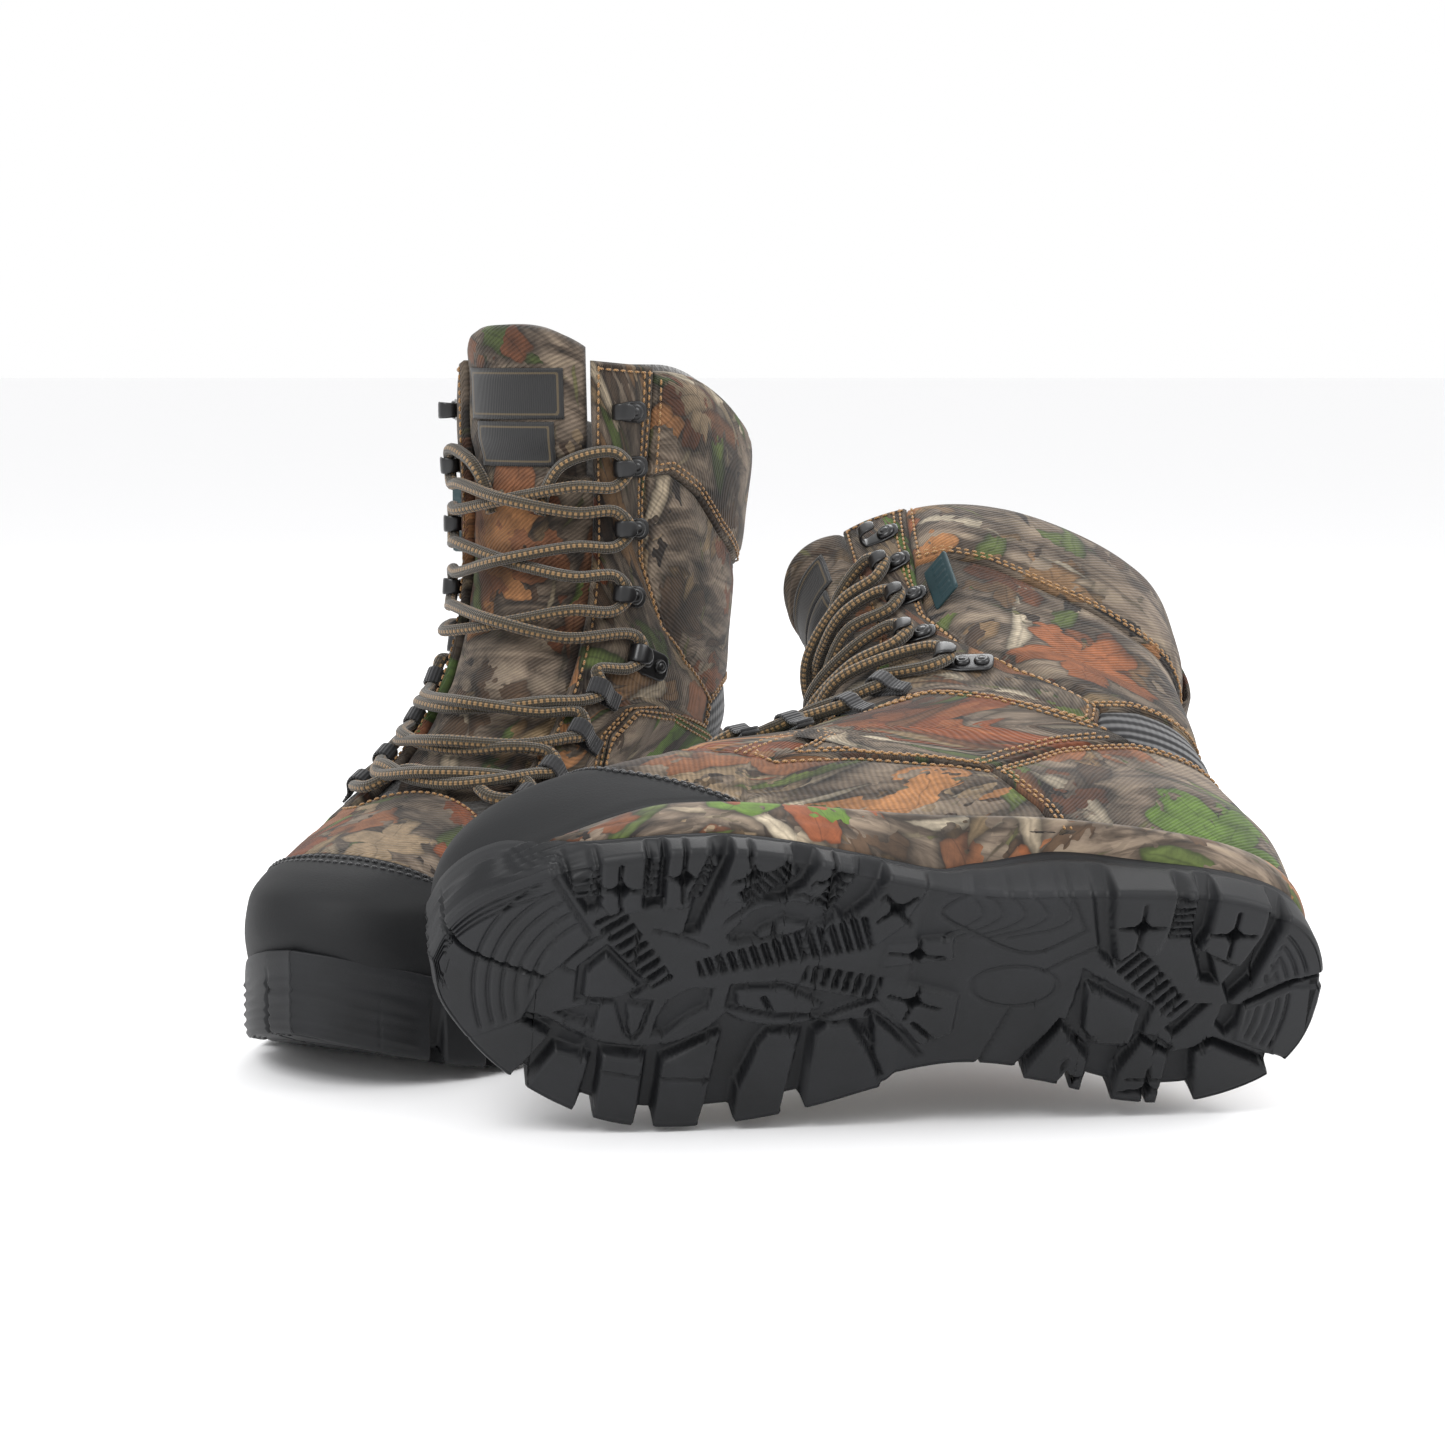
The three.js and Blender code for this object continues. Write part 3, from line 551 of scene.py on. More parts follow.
def leaf_group(kind: Leaf) -> bpy.types.NodeTree:
    """A node group that lays one leaf in each square of a grid.

    Each leaf has its own shift, turn and size. A lobed leaf's reach is five rounded lobes,
    a + b |cos 2.5 t| to the power 0.8 at angle t, with a toothed edge. A blade's half width is
    1 - (x / a) squared along its length.

    Args:
        kind: the outline.

    Returns:
        The group, with inputs Place, Cell, Width and Seed, and outputs Inside (mm inside the outline),
        Vein, Pick (random colour) and Across.
    """
    name = kind.value
    if name in bpy.data.node_groups:
        return bpy.data.node_groups[name]
    t = bpy.data.node_groups.new(name, "ShaderNodeTree")
    for socket, form in (("Place", "Vector"), ("Cell", "Float"), ("Width", "Float"), ("Seed", "Float")):
        t.interface.new_socket(socket, in_out="INPUT", socket_type="NodeSocket" + form)
    for socket, form in (("Inside", "Float"), ("Vein", "Float"), ("Pick", "Color"), ("Across", "Float")):
        t.interface.new_socket(socket, in_out="OUTPUT", socket_type="NodeSocket" + form)
    into = t.nodes.new("NodeGroupInput").outputs
    cell, width, seed = into["Cell"], into["Width"], into["Seed"]
    turned = add(t, "VectorRotate", {"Vector": into["Place"], "Angle": seed}, rotation_type="Z_AXIS")
    wobble = add(t, "TexNoise", {"Vector": turned, "Scale": 0.045, "Detail": 3.0, "Roughness": 0.6})
    wobble = add(t, "VectorMath", {0: t.nodes[-1].outputs["Color"], 1: (0.5, 0.5, 0.5)},
                 operation="SUBTRACT")
    wobble = add(t, "VectorMath", {0: wobble, "Scale": 9.0}, operation="SCALE")
    bent = add(t, "VectorMath", {0: turned, 1: wobble}, operation="ADD")
    scaled = add(t, "VectorMath", {0: bent, "Scale": ("DIVIDE", 1.0, cell)}, operation="SCALE")
    q = add(t, "VectorMath", {0: scaled, 1: add(t, "CombineXYZ", {0: seed, 1: ("MULTIPLY", seed, 1.37)})},
            operation="ADD")
    home = add(t, "VectorMath", {0: q}, operation="FLOOR")
    inner = add(t, "VectorMath", {0: add(t, "VectorMath", {0: q, 1: home}, operation="SUBTRACT"),
                                  1: (0.5, 0.5, 0)}, operation="SUBTRACT")
    flat = add(t, "VectorMath", {0: inner, 1: (1, 1, 0)}, operation="MULTIPLY")
    add(t, "TexWhiteNoise", {"Vector": add(t, "VectorMath", {0: home, 1: add(t, "CombineXYZ", {2: seed})},
        operation="ADD")})
    chance = t.nodes[-1].outputs["Color"]
    add(t, "SeparateXYZ", {0: chance})
    one, two, three = t.nodes[-1].outputs[:3]
    shift = add(t, "CombineXYZ", {0: ("MULTIPLY_ADD", one, 0.16, -0.08),
                                  1: ("MULTIPLY_ADD", two, 0.16, -0.08)})
    flat = add(t, "VectorMath", {0: flat, 1: shift}, operation="ADD")
    local = add(t, "VectorRotate", {"Vector": flat, "Angle": ("MULTIPLY", three, 6.283)},
                rotation_type="Z_AXIS")
    add(t, "SeparateXYZ", {0: local})
    x, y = t.nodes[-1].outputs[:2]
    size = ("MULTIPLY_ADD", two, 0.10, 0.31)
    if kind is Leaf.LOBED:
        spin = add(t, "Math", {0: y, 1: x}, operation="ARCTAN2")
        radius = add(t, "VectorMath", {0: local}, operation="LENGTH")
        lobes = ("POWER", ("ABSOLUTE", ("COSINE", ("MULTIPLY", spin, 2.5))), 0.8)
        teeth = ("MULTIPLY", ("PINGPONG", ("MULTIPLY", spin, 5.0), 1.0), 0.11)
        reach = ("MULTIPLY", size, ("ADD", ("MULTIPLY_ADD", lobes, 0.62, 0.34), teeth))
        inside = add(t, "Math", {0: ("SUBTRACT", reach, radius), 1: cell}, operation="MULTIPLY")
        rib = ("MULTIPLY", ("MULTIPLY", ("ABSOLUTE", ("SINE", ("MULTIPLY", spin, 2.5))), radius), cell)
        side_rib = ("ABSOLUTE", ("SINE", ("MULTIPLY_ADD", radius, 70.0,
            ("MULTIPLY", ("ABSOLUTE", ("SINE", ("MULTIPLY", spin, 2.5))), 9.0))))
        vein = ("MAXIMUM", ("SUBTRACT", 1.0, ("DIVIDE", rib, 1.3)),
                ("MULTIPLY", ("SUBTRACT", 0.25, side_rib), 1.6))
        across = ("DIVIDE", radius, reach)
    else:
        taper = ("SUBTRACT", 1.0, ("POWER", ("DIVIDE", ("ABSOLUTE", x), 0.44), 2.0))
        curve = ("SUBTRACT", y, ("MULTIPLY", ("SINE", ("MULTIPLY", x, 5.0)),
                                 ("MULTIPLY_ADD", one, 0.10, -0.05)))
        half = ("MULTIPLY", width, taper)
        inside = add(t, "Math", {0: ("SUBTRACT", half, ("ABSOLUTE", curve)), 1: cell}, operation="MULTIPLY")
        stripe = ("ABSOLUTE", ("SINE", ("MULTIPLY_ADD", ("ABSOLUTE", curve), -55.0, ("MULTIPLY", x, 60.0))))
        vein = ("MAXIMUM", ("SUBTRACT", 1.0, ("DIVIDE", ("MULTIPLY", ("ABSOLUTE", curve), cell), 0.9)),
                ("MULTIPLY", ("SUBTRACT", 0.22, stripe), 1.5))
        across = ("DIVIDE", curve, ("MAXIMUM", half, 0.001))
    out = add(t, "Math", {0: vein, 1: 0.0}, operation="MAXIMUM", use_clamp=True)
    end = t.nodes.new("NodeGroupOutput")
    for key, value in (("Inside", inside), ("Vein", out), ("Pick", chance),
                       ("Across", add(t, "Math", {0: across, 1: 0.0}, operation="ADD"))):
        t.links.new(value, end.inputs[key])
    return t


@dataclass(frozen=True)
class Finish:
    """What every finish shares: a name, and a new material with its shader."""

    name: str

    def start(self, **sockets: Any) -> tuple:
        """A new material, its tree and its shader, with uniform values set on the shader's own sockets."""
        made = bpy.data.materials.new(self.name)
        made.use_nodes = True
        tree = made.node_tree
        shader = tree.nodes["Principled BSDF"]
        for key, value in sockets.items():
            shader.inputs[key.replace("_", " ").title().replace("Ior", "IOR")].default_value = value
        return made, tree, shader

    def close(self, made: Any, tree: Any, colour: Any, height: Any, depth: float) -> bpy.types.Material:
        """Links the colour, and a height whose tallest step is depth millimetres, into the shader."""
        sockets = tree.nodes["Principled BSDF"].inputs
        tree.links.new(colour, sockets["Base Color"])
        bump = add(tree, "Bump", {"Height": height, "Strength": 0.9, "Distance": depth / 1000})
        tree.links.new(bump, sockets["Normal"])
        return made


@dataclass(frozen=True)
class PrintedCloth(Finish):
    """Polyester cloth with a raised diagonal rib, heat printed with leaves, twigs and grass."""

    rib_mm: float = 1.5  # the real rib is about 0.9 mm; drawn coarser so that it shows
    lift: float = 1.0  # brightness of the print
    relief: float = 0.25
    plain: bool = False  # on moulded foam there is no rib

    def layer(self, tree: Any, below: Any, place: Any, kind: Leaf, cell: float, width: float, seed: float,
              colours: Sequence[str], cover: float, shade: float) -> Any:
        """Prints one layer of leaves over what is below it, each with a soft dark rim and veins.

        Args:
            tree: the material's nodes.
            below: the colour so far.
            place: flat coordinates in millimetres.
            kind: the outline.
            cell: spacing of the leaves in millimetres.
            width: half width of a blade, as a share of the cell.
            seed: number that changes the layout.
            colours: the leaves' colours.
            cover: share of the squares that hold a leaf.
            shade: how dark the rim is.

        Returns:
            The colour with the layer on it.
        """
        node = tree.nodes.new("ShaderNodeGroup")
        node.node_tree = leaf_group(kind)
        for key, value in (("Cell", cell), ("Width", width), ("Seed", seed)):
            node.inputs[key].default_value = value
        tree.links.new(place, node.inputs["Place"])
        inside, vein, pick, across = (node.outputs[k] for k in ("Inside", "Vein", "Pick", "Across"))
        add(tree, "SeparateColor", {0: pick})
        one, two, three = tree.nodes[-1].outputs[:3]
        there = ("LESS_THAN", ("FRACT", ("ADD", ("MULTIPLY", one, 7.13), three)), cover)
        mask = add(tree, "Math", {0: there, 1: add(tree, "MapRange",
            {"Value": inside, "From Min": -0.3, "From Max": 0.5})}, operation="MULTIPLY")
        halo = add(tree, "MapRange", {"Value": inside, "From Min": -4.0, "From Max": 1.0, "To Max": shade})
        halo = add(tree, "Math", {0: halo, 1: there}, operation="MULTIPLY")
        dark = add(tree, "Mix", {"Factor": halo, "A": below, "B": "#1d1611"})
        ramp = tree.nodes.new("ShaderNodeValToRGB")
        ramp.color_ramp.interpolation = "CONSTANT"
        steps = ramp.color_ramp.elements
        for k, code in enumerate(colours):
            step = steps[k] if k < 2 else steps.new(k / len(colours))
            step.position = k / len(colours)
            step.color = linear(code)
        tree.links.new(two, ramp.inputs[0])
        mottle = add(tree, "TexNoise", {"Vector": place, "Scale": 0.16, "Detail": 5.0, "Roughness": 0.65})
        tone = add(tree, "MapRange", {"Value": mottle, "From Min": 0.3, "From Max": 0.7, "To Min": 0.62,
            "To Max": 1.32})
        if kind is Leaf.BLADE:
            tone = add(tree, "Math", {0: tone, 1: ("SUBTRACT", 1.12,
                ("MULTIPLY", ("ABSOLUTE", across), 0.5))}, operation="MULTIPLY")
        rim = add(tree, "MapRange", {"Value": inside, "From Min": 0.0, "From Max": 2.2, "To Min": 0.55})
        tone = add(tree, "Math", {0: tone, 1: rim}, operation="MULTIPLY")
        tone = add(tree, "Math", {0: tone, 1: ("SUBTRACT", 1.0, ("MULTIPLY", vein, 0.42))},
                   operation="MULTIPLY")
        leaf = add(tree, "VectorMath", {0: ramp.outputs[0], "Scale": tone}, operation="SCALE")
        return add(tree, "Mix", {"Factor": mask, "A": dark, "B": leaf})

    def material(self) -> bpy.types.Material:
        """Builds the print from the ground up: bark, shadow, grass, twigs, then leaves and pale branches."""
        made, tree, shader = self.start(roughness=0.86, sheen_weight=0.08, sheen_roughness=0.5)
        place = add(tree, "UVMap", uv_map="UVMap")
        streak = add(tree, "Mapping", {"Vector": place, "Scale": (0.028, 0.10, 1), "Rotation": (0, 0, 0.5)})
        bark = add(tree, "TexNoise", {"Vector": streak, "Scale": 1.0, "Detail": 8.0, "Roughness": 0.62,
            "Distortion": 0.8})
        ground = tree.nodes.new("ShaderNodeValToRGB")
        steps = ground.color_ramp.elements
        for k, (at, code) in enumerate(((0.30, "#2a221b"), (0.43, "#5d4f42"), (0.54, "#8a7968"),
            (0.70, "#a8967f"))):
            step = steps[k] if k < 2 else steps.new(at)
            step.position = at
            step.color = linear(code)
        tree.links.new(bark, ground.inputs[0])
        colour = ground.outputs[0]
        for spec in (
            (Leaf.BLADE, 27.0, 0.045, 1.1, ("#b3a184", "#7d6d55", "#8f8a5a"), 0.8, 0.35),
            (Leaf.BLADE, 74.0, 0.060, 3.2, ("#3a2d23", "#574535", "#2b211a"), 0.8, 0.4),
            (Leaf.BLADE, 40.0, 0.150, 5.7, ("#6f5a41", "#8d7150", "#5c6a35", "#4d3a2b"), 0.7, 0.7),
            (Leaf.LOBED, 58.0, 0.0, 2.3, ("#8a6a4a", "#7a4a2e", "#9a8468", "#5b4634"), 0.7, 0.8),
            (Leaf.BLADE, 92.0, 0.048, 0.6, ("#b9a88f", "#9a886f", "#cbbca3"), 0.85, 0.8),
            (Leaf.LOBED, 96.0, 0.0, 4.4, ("#a05f38", "#8c4c2a", "#5f7d2c", "#b07a4c", "#94603f"), 0.72,
             0.85),
            (Leaf.BLADE, 66.0, 0.085, 7.9, ("#98805f", "#6d7c3a", "#7b5236"), 0.45, 0.8),
        ):
            colour = self.layer(tree, colour, place, *spec)
        gloom = add(tree, "TexNoise", {"Vector": place, "Scale": 0.021, "Detail": 3.0, "Roughness": 0.55})
        gloom = add(tree, "MapRange", {"Value": gloom, "From Min": 0.36, "From Max": 0.56,
            "To Min": 0.36 * self.lift, "To Max": self.lift})
        rib = add(tree, "TexWave", {
            "Vector": add(tree, "Mapping", {"Vector": place, "Rotation": (0, 0, 0.9)}),
            "Scale": WAVE / self.rib_mm, "Distortion": 0.6, "Detail": 1.0, "Detail Scale": 2.0})
        # painted shade: the cloth darkens to 0.72 of its tone within 2.5 mm of a panel's edge, along the
        # seams where panels meet
        add(tree, "Attribute", attribute_name="edge")
        seam_shade = add(tree, "MapRange", {"Value": tree.nodes[-1].outputs["Fac"], "From Min": 0.0,
            "From Max": 2.5, "To Min": 0.72})
        tone = add(tree, "Math", {0: gloom, 1: seam_shade}, operation="MULTIPLY")
        # painted highlight and shade: the rib's crests are lighter and its hollows darker, following the
        # bump
        if not self.plain:
            tone = add(tree, "Math", {0: tone, 1: ("MULTIPLY_ADD", rib, 0.30, 0.82)}, operation="MULTIPLY")
        final = add(tree, "VectorMath", {0: colour, "Scale": tone}, operation="SCALE")
        grit = add(tree, "TexNoise", {"Vector": place, "Scale": 1.6, "Detail": 2.0})
        height = add(tree, "Math", {0: grit, 1: 0.25, 2: 0.0 if self.plain else rib},
                     operation="MULTIPLY_ADD")
        return self.close(made, tree, final, height, 0.12 if self.plain else self.relief)


@dataclass(frozen=True)
class MouldedRubber(Finish):
    """Carbon-filled rubber from a spark-eroded mould: a dull, fine even grit, with cloudy patches of a paler
    worn tone.
    """

    colour: str = "#2b2c2f"
    worn: str = "#3c3d41"
    rough: float = 0.55
    grit_mm: float = 0.6
    depth: float = 0.06

    def material(self) -> bpy.types.Material:
        """Even grit with slow cloudy changes of tone and roughness."""
        made, tree, shader = self.start(specular_ior_level=0.32)
        add(tree, "TexCoord")
        place = tree.nodes[-1].outputs["Object"]
        cloud = add(tree, "TexNoise", {"Vector": place, "Scale": 38.0, "Detail": 6.0, "Roughness": 0.6})
        mix = add(tree, "MapRange", {"Value": cloud, "From Min": 0.35, "From Max": 0.75, "To Max": 0.75})
        colour = add(tree, "Mix", {"Factor": mix, "A": self.colour, "B": self.worn})
        rough = add(tree, "MapRange", {"Value": cloud, "To Min": self.rough - 0.08,
            "To Max": self.rough + 0.12})
        tree.links.new(rough, shader.inputs["Roughness"])
        grit = add(tree, "TexNoise", {"Vector": place, "Scale": 1000 / self.grit_mm, "Detail": 3.0})
        return self.close(made, tree, colour, grit, self.depth)


@dataclass(frozen=True)
class Webbing(Finish):
    """Woven nylon tape: rows of small ribs across its length."""

    colour: str = "#1b1b1d"
    # colour of the painted highlight on the raised ribs
    light: str = "#34343a"
    rib_mm: float = 1.4
    across: bool = True
    relief: float = 0.3

    def material(self) -> bpy.types.Material:
        """Ribs from a wave in the flat coordinates, broken up by a finer wave the other way; the raised
        parts are painted lighter, as a highlight.
        """
        made, tree, shader = self.start(roughness=0.8, sheen_weight=0.25)
        place = add(tree, "UVMap", uv_map="UVMap")
        rib = add(tree, "TexWave", {"Vector": place, "Scale": WAVE / self.rib_mm, "Distortion": 0.4},
                  bands_direction="X" if self.across else "Y")
        pick = add(tree, "TexWave", {"Vector": place, "Scale": WAVE / self.rib_mm * 1.6, "Distortion": 0.4},
                   bands_direction="Y" if self.across else "X")
        height = add(tree, "Math", {0: pick, 1: 0.12, 2: rib}, operation="MULTIPLY_ADD")
        # painted highlight: the colour follows the bump height, lighter on the raised ribs
        colour = add(tree, "Mix", {"Factor": ("MULTIPLY", height, 0.6), "A": self.colour, "B": self.light})
        return self.close(made, tree, colour, height, self.relief)


@dataclass(frozen=True)
class BraidedCord(Finish):
    """Round polyester lace: a herringbone braid of dark and olive yarns with rows of tan flecks."""

    dark: str = "#1f1a12"
    yarn: str = "#423722"
    fleck: str = "#8f7048"
    pitch_mm: float = 2.2

    def material(self) -> bpy.types.Material:
        """Two slanting waves crossed make the braid; a slow wave round the cord picks the flecked rows."""
        made, tree, shader = self.start(roughness=0.82, sheen_weight=0.3)
        place = add(tree, "UVMap", uv_map="UVMap")
        add(tree, "SeparateXYZ", {0: place})
        u, v = tree.nodes[-1].outputs[:2]
        k = 2 * np.pi / self.pitch_mm
        one = ("SINE", ("ADD", ("MULTIPLY", u, k), ("MULTIPLY", v, k * 0.9)))
        two = ("SINE", ("SUBTRACT", ("MULTIPLY", u, k), ("MULTIPLY", v, k * 0.9)))
        braid = add(tree, "Math", {0: one, 1: two}, operation="MULTIPLY")
        yarn = add(tree, "MapRange", {"Value": braid, "From Min": -0.6, "From Max": 0.6})
        colour = add(tree, "Mix", {"Factor": yarn, "A": self.dark, "B": self.yarn})
        row = ("GREATER_THAN", ("SINE", ("MULTIPLY", v, 1.31)), 0.45)
        dot = ("GREATER_THAN", ("SINE", ("MULTIPLY", u, k)), -0.2)
        fleck = add(tree, "Math", {0: row, 1: dot}, operation="MULTIPLY")
        colour = add(tree, "Mix", {"Factor": ("MULTIPLY", fleck, 0.85), "A": colour, "B": self.fleck})
        return self.close(made, tree, colour, yarn, 0.35)


@dataclass(frozen=True)
class Enamel(Finish):
    """Steel stamping under glossy black enamel: a smooth coat with a faint orange peel."""

    colour: str = "#060607"
    rough: float = 0.3

    def material(self) -> bpy.types.Material:
        """Dark coat, a little uneven in gloss where it is rubbed."""
        made, tree, shader = self.start(coat_weight=0.25, coat_roughness=0.2, specular_ior_level=0.4)
        add(tree, "TexCoord")
        place = tree.nodes[-1].outputs["Object"]
        rub = add(tree, "TexNoise", {"Vector": place, "Scale": 420.0, "Detail": 4.0})
        colour = add(tree, "Mix", {"Factor": rub, "A": self.colour, "B": "#141416"})
        tree.links.new(add(tree, "MapRange", {"Value": rub, "To Min": self.rough - 0.06,
            "To Max": self.rough + 0.16}), shader.inputs["Roughness"])
        return self.close(made, tree, colour, rub, 0.03)


@dataclass(frozen=True)
class Thread(Finish):
    """Bonded polyester thread, twisted: a slight shine, and painted shade in the grooves between the plies.
    """

    colour: str = "#a87c45"
    # colour of the painted shade in the grooves between the plies
    groove: str = "#6b4d2a"

    def material(self) -> bpy.types.Material:
        """Twist from a slanting wave in each stitch's own flat coordinates."""
        made, tree, shader = self.start(roughness=0.55, sheen_weight=0.3)
        place = add(tree, "UVMap", uv_map="UVMap")
        ply = add(tree, "TexWave", {"Vector": add(tree, "Mapping",
            {"Vector": place, "Rotation": (0, 0, 0.7)}), "Scale": 0.4})
        # painted shade: the twist wave's troughs take the darker groove colour
        colour = add(tree, "Mix", {"Factor": ply, "A": self.groove, "B": self.colour})
        return self.close(made, tree, colour, ply, 0.1)


@dataclass(frozen=True)
class Label(Finish):
    """Damask-woven label: satin ground with a plain border line and no lettering."""

    ground: str = "#0d0d0e"
    line: str = "#4b3f2a"

    def material(self) -> bpy.types.Material:
        """A border line a set distance from the edge, on a fine satin weave whose raised lines are painted
        lighter, as a sheen.
        """
        made, tree, shader = self.start(roughness=0.6, sheen_weight=0.2)
        place = add(tree, "UVMap", uv_map="UVMap")
        weave = add(tree, "TexWave", {"Vector": place, "Scale": 0.34, "Distortion": 0.3})
        add(tree, "Attribute", attribute_name="edge")
        rim = tree.nodes[-1].outputs["Fac"]
        line = ("MULTIPLY", ("GREATER_THAN", rim, 1.7), ("LESS_THAN", rim, 2.5))
        # painted sheen: the raised weave lines are lighter, following the bump
        ground = add(tree, "Mix", {"Factor": ("MULTIPLY", weave, 0.4), "A": self.ground, "B": "#19191b"})
        colour = add(tree, "Mix", {"Factor": line, "A": ground, "B": self.line})
        return self.close(made, tree, colour, weave, 0.12)


@dataclass(frozen=True)
class Lining(Finish):
    """Brushed knit lining: soft pile over a fine honeycomb knit."""

    colour: str = "#1e1c1a"
    # colour of the painted highlight on the raised pile and knit cells
    light: str = "#3a3632"

    def material(self) -> bpy.types.Material:
        """Cells of a small Voronoi pattern, with pile noise over them; the raised parts are painted lighter,
        as a highlight.
        """
        made, tree, shader = self.start(roughness=0.95, sheen_weight=0.5)
        add(tree, "TexCoord")
        place = tree.nodes[-1].outputs["Object"]
        cell = add(tree, "TexVoronoi", {"Vector": place, "Scale": 420.0})
        pile = add(tree, "TexNoise", {"Vector": place, "Scale": 900.0, "Detail": 3.0})
        height = add(tree, "Math", {0: pile, 1: 0.5, 2: cell}, operation="MULTIPLY_ADD")
        # painted highlight: the colour follows the bump height, lighter where the pile stands up
        colour = add(tree, "Mix", {"Factor": height, "A": self.colour, "B": self.light})
        return self.close(made, tree, colour, height, 0.5)


@dataclass(frozen=True)
class Board(Finish):
    """Pressed fibre board, or brushed steel strip, for the stiffeners inside."""

    colour: str = "#9a8f7c"
    dark: str = "#6d6455"
    metal: float = 0.0

    def material(self) -> bpy.types.Material:
        """Short fibres from a stretched noise."""
        made, tree, shader = self.start(roughness=0.4 if self.metal else 0.9, metallic=self.metal)
        add(tree, "TexCoord")
        place = add(tree, "Mapping", {"Vector": tree.nodes[-1].outputs["Object"],
            "Scale": (300, 2500, 900)})
        fibre = add(tree, "TexNoise", {"Vector": place, "Scale": 1.0, "Detail": 4.0})
        colour = add(tree, "Mix", {"Factor": fibre, "A": self.dark, "B": self.colour})
        return self.close(made, tree, colour, fibre, 0.1)


@dataclass
class Finishes:
    """The materials of the pair, each made once."""

    cloth: Any = field(default_factory=lambda: PrintedCloth("printed_ribbed_cloth", lift=0.64).material())
    foam: Any = field(default_factory=lambda: PrintedCloth("printed_moulded_foam", plain=True,
        lift=0.76).material())
    rubber: Any = field(default_factory=lambda: MouldedRubber("moulded_outsole_rubber", "#121315",
        "#202124", 0.5).material())
    cap: Any = field(default_factory=lambda: MouldedRubber(
        "rubber_coated_cap", "#0f1012", "#18191b", 0.62, 0.9, 0.09).material())
    teal: Any = field(default_factory=lambda: MouldedRubber(
        "soft_teal_rubber", "#142b30", "#1f3b40", 0.5, 0.5, 0.05).material())
    webbing: Any = field(default_factory=lambda: Webbing("ribbed_nylon_webbing", "#0f0f11",
        "#232327").material())
    flex: Any = field(default_factory=lambda: Webbing("ribbed_flex_cloth", "#0d0d0f", "#222226", 5.0,
        False, 1.2).material())
    cord: Any = field(default_factory=lambda: BraidedCord("braided_polyester_cord").material())
    enamel: Any = field(default_factory=lambda: Enamel("black_enamelled_steel").material())
    tan: Any = field(default_factory=lambda: Thread("tan_bonded_thread").material())
    black: Any = field(default_factory=lambda: Thread("black_bonded_thread", "#2b2b2e",
        "#101012").material())
    label: Any = field(default_factory=lambda: Label("damask_woven_label").material())
    lining: Any = field(default_factory=lambda: Lining("brushed_knit_lining").material())
    board: Any = field(default_factory=lambda: Board("pressed_fibre_board").material())
    steel: Any = field(default_factory=lambda: Board("brushed_spring_steel", "#9a9da2", "#6e7176",
        1.0).material())


# ---------- the upper ----------
CAP_SIDE = ((208.9, 30.5), (212, 37), (228, 47), (246, 57), (264, 70))
CAP_TOP = ((264, 70), (276, 84), (278, 110))
COUNTER_FRONT = ((98, 30.5), (102, 46), (116, 69))
COUNTER_TOP = ((116, 69), (84, 91), (53, 104), (30, 107), (-20, 108))
FLAP_TOP = ((196, 64), (160, 102), (146, 117), (128, 127), (108, 125), (65, 111), (53, 104))
FLAP_FOOT = ((196, 64), (163, 72), (130, 72), (116, 69), (84, 91), (53, 104))
FACING_BACK = ((61, 122), (78, 135), (106, 156), (117, 184), (117, 213), (116, 222))
FLEX_END = ((53, 104), (65, 111), (61, 122))
FLEX_TOP = ((61, 122), (45, 128), (20, 131), (-20, 131))
COLLAR_SEAM = ((116, 222), (105, 223), (88, 214), (66, 197), (36, 181), (-20, 172))


def shares(length: float, step: float) -> Array:
    """Shares of a length for grid lines: close together near both ends, then one every step."""
    near = np.array([0, 0.35, 0.8, 1.4, 2.0, 2.6, 3.3, 4.2])
    if length < 20:
        return np.linspace(0, 1, 14)
    count = max(2, int((length - 10) / step))
    mid = np.linspace(5.2, length - 5.2, count)
    return np.concatenate([near, mid, (length - near)[::-1]]) / length


@dataclass
class Patch:
    """A four-sided piece of the upper's surface between borders of angles and heights (a Coons patch).

    Each inner point is the sum of the two straight blends between opposite borders, less the blend of
    the four corners.
    """

    bottom: Array
    top: Array
    left: Array | None = None
    right: Array | None = None

    def side(self, line: Array | None, a: Array, b: Array, at: Array) -> Array:
        """A border at shares of its real length, or a straight line from a to b."""
        if line is None:
            return a + (b - a) * at[..., None]
        d = lengths(UPPER.point(*line.T))
        return np.stack([np.interp(at * d[-1], d, line[:, k]) for k in (0, 1)], -1)

    def at(self, u: Array, v: Array) -> Array:
        """Angles and heights at shares u along the bottom and v up the sides, which broadcast."""
        u, v = np.broadcast_arrays(np.asarray(u, float), np.asarray(v, float))
        a, b, c, d = self.bottom[0], self.bottom[-1], self.top[0], self.top[-1]
        s, t = u[..., None], v[..., None]
        made = (1 - t) * self.side(self.bottom, a, b, u) + t * self.side(self.top, c, d, u)
        made = made + (1 - s) * self.side(self.left, a, c, v) + s * self.side(self.right, b, d, v)
        return made - ((1 - s) * (1 - t) * a + s * (1 - t) * b + (1 - s) * t * c + s * t * d)

    def size(self) -> tuple:
        """Longest length along the bottom and up the sides, in millimetres."""
        u = np.linspace(0, 1, 60)
        across = [UPPER.point(*self.at(u, k).T) for k in (0.0, 0.5, 1.0)]
        up = [UPPER.point(*self.at(k, u).T) for k in (0.0, 0.15, 0.35, 0.5, 0.65, 0.85, 1.0)]
        return max(lengths(p)[-1] for p in across), max(lengths(p)[-1] for p in up)


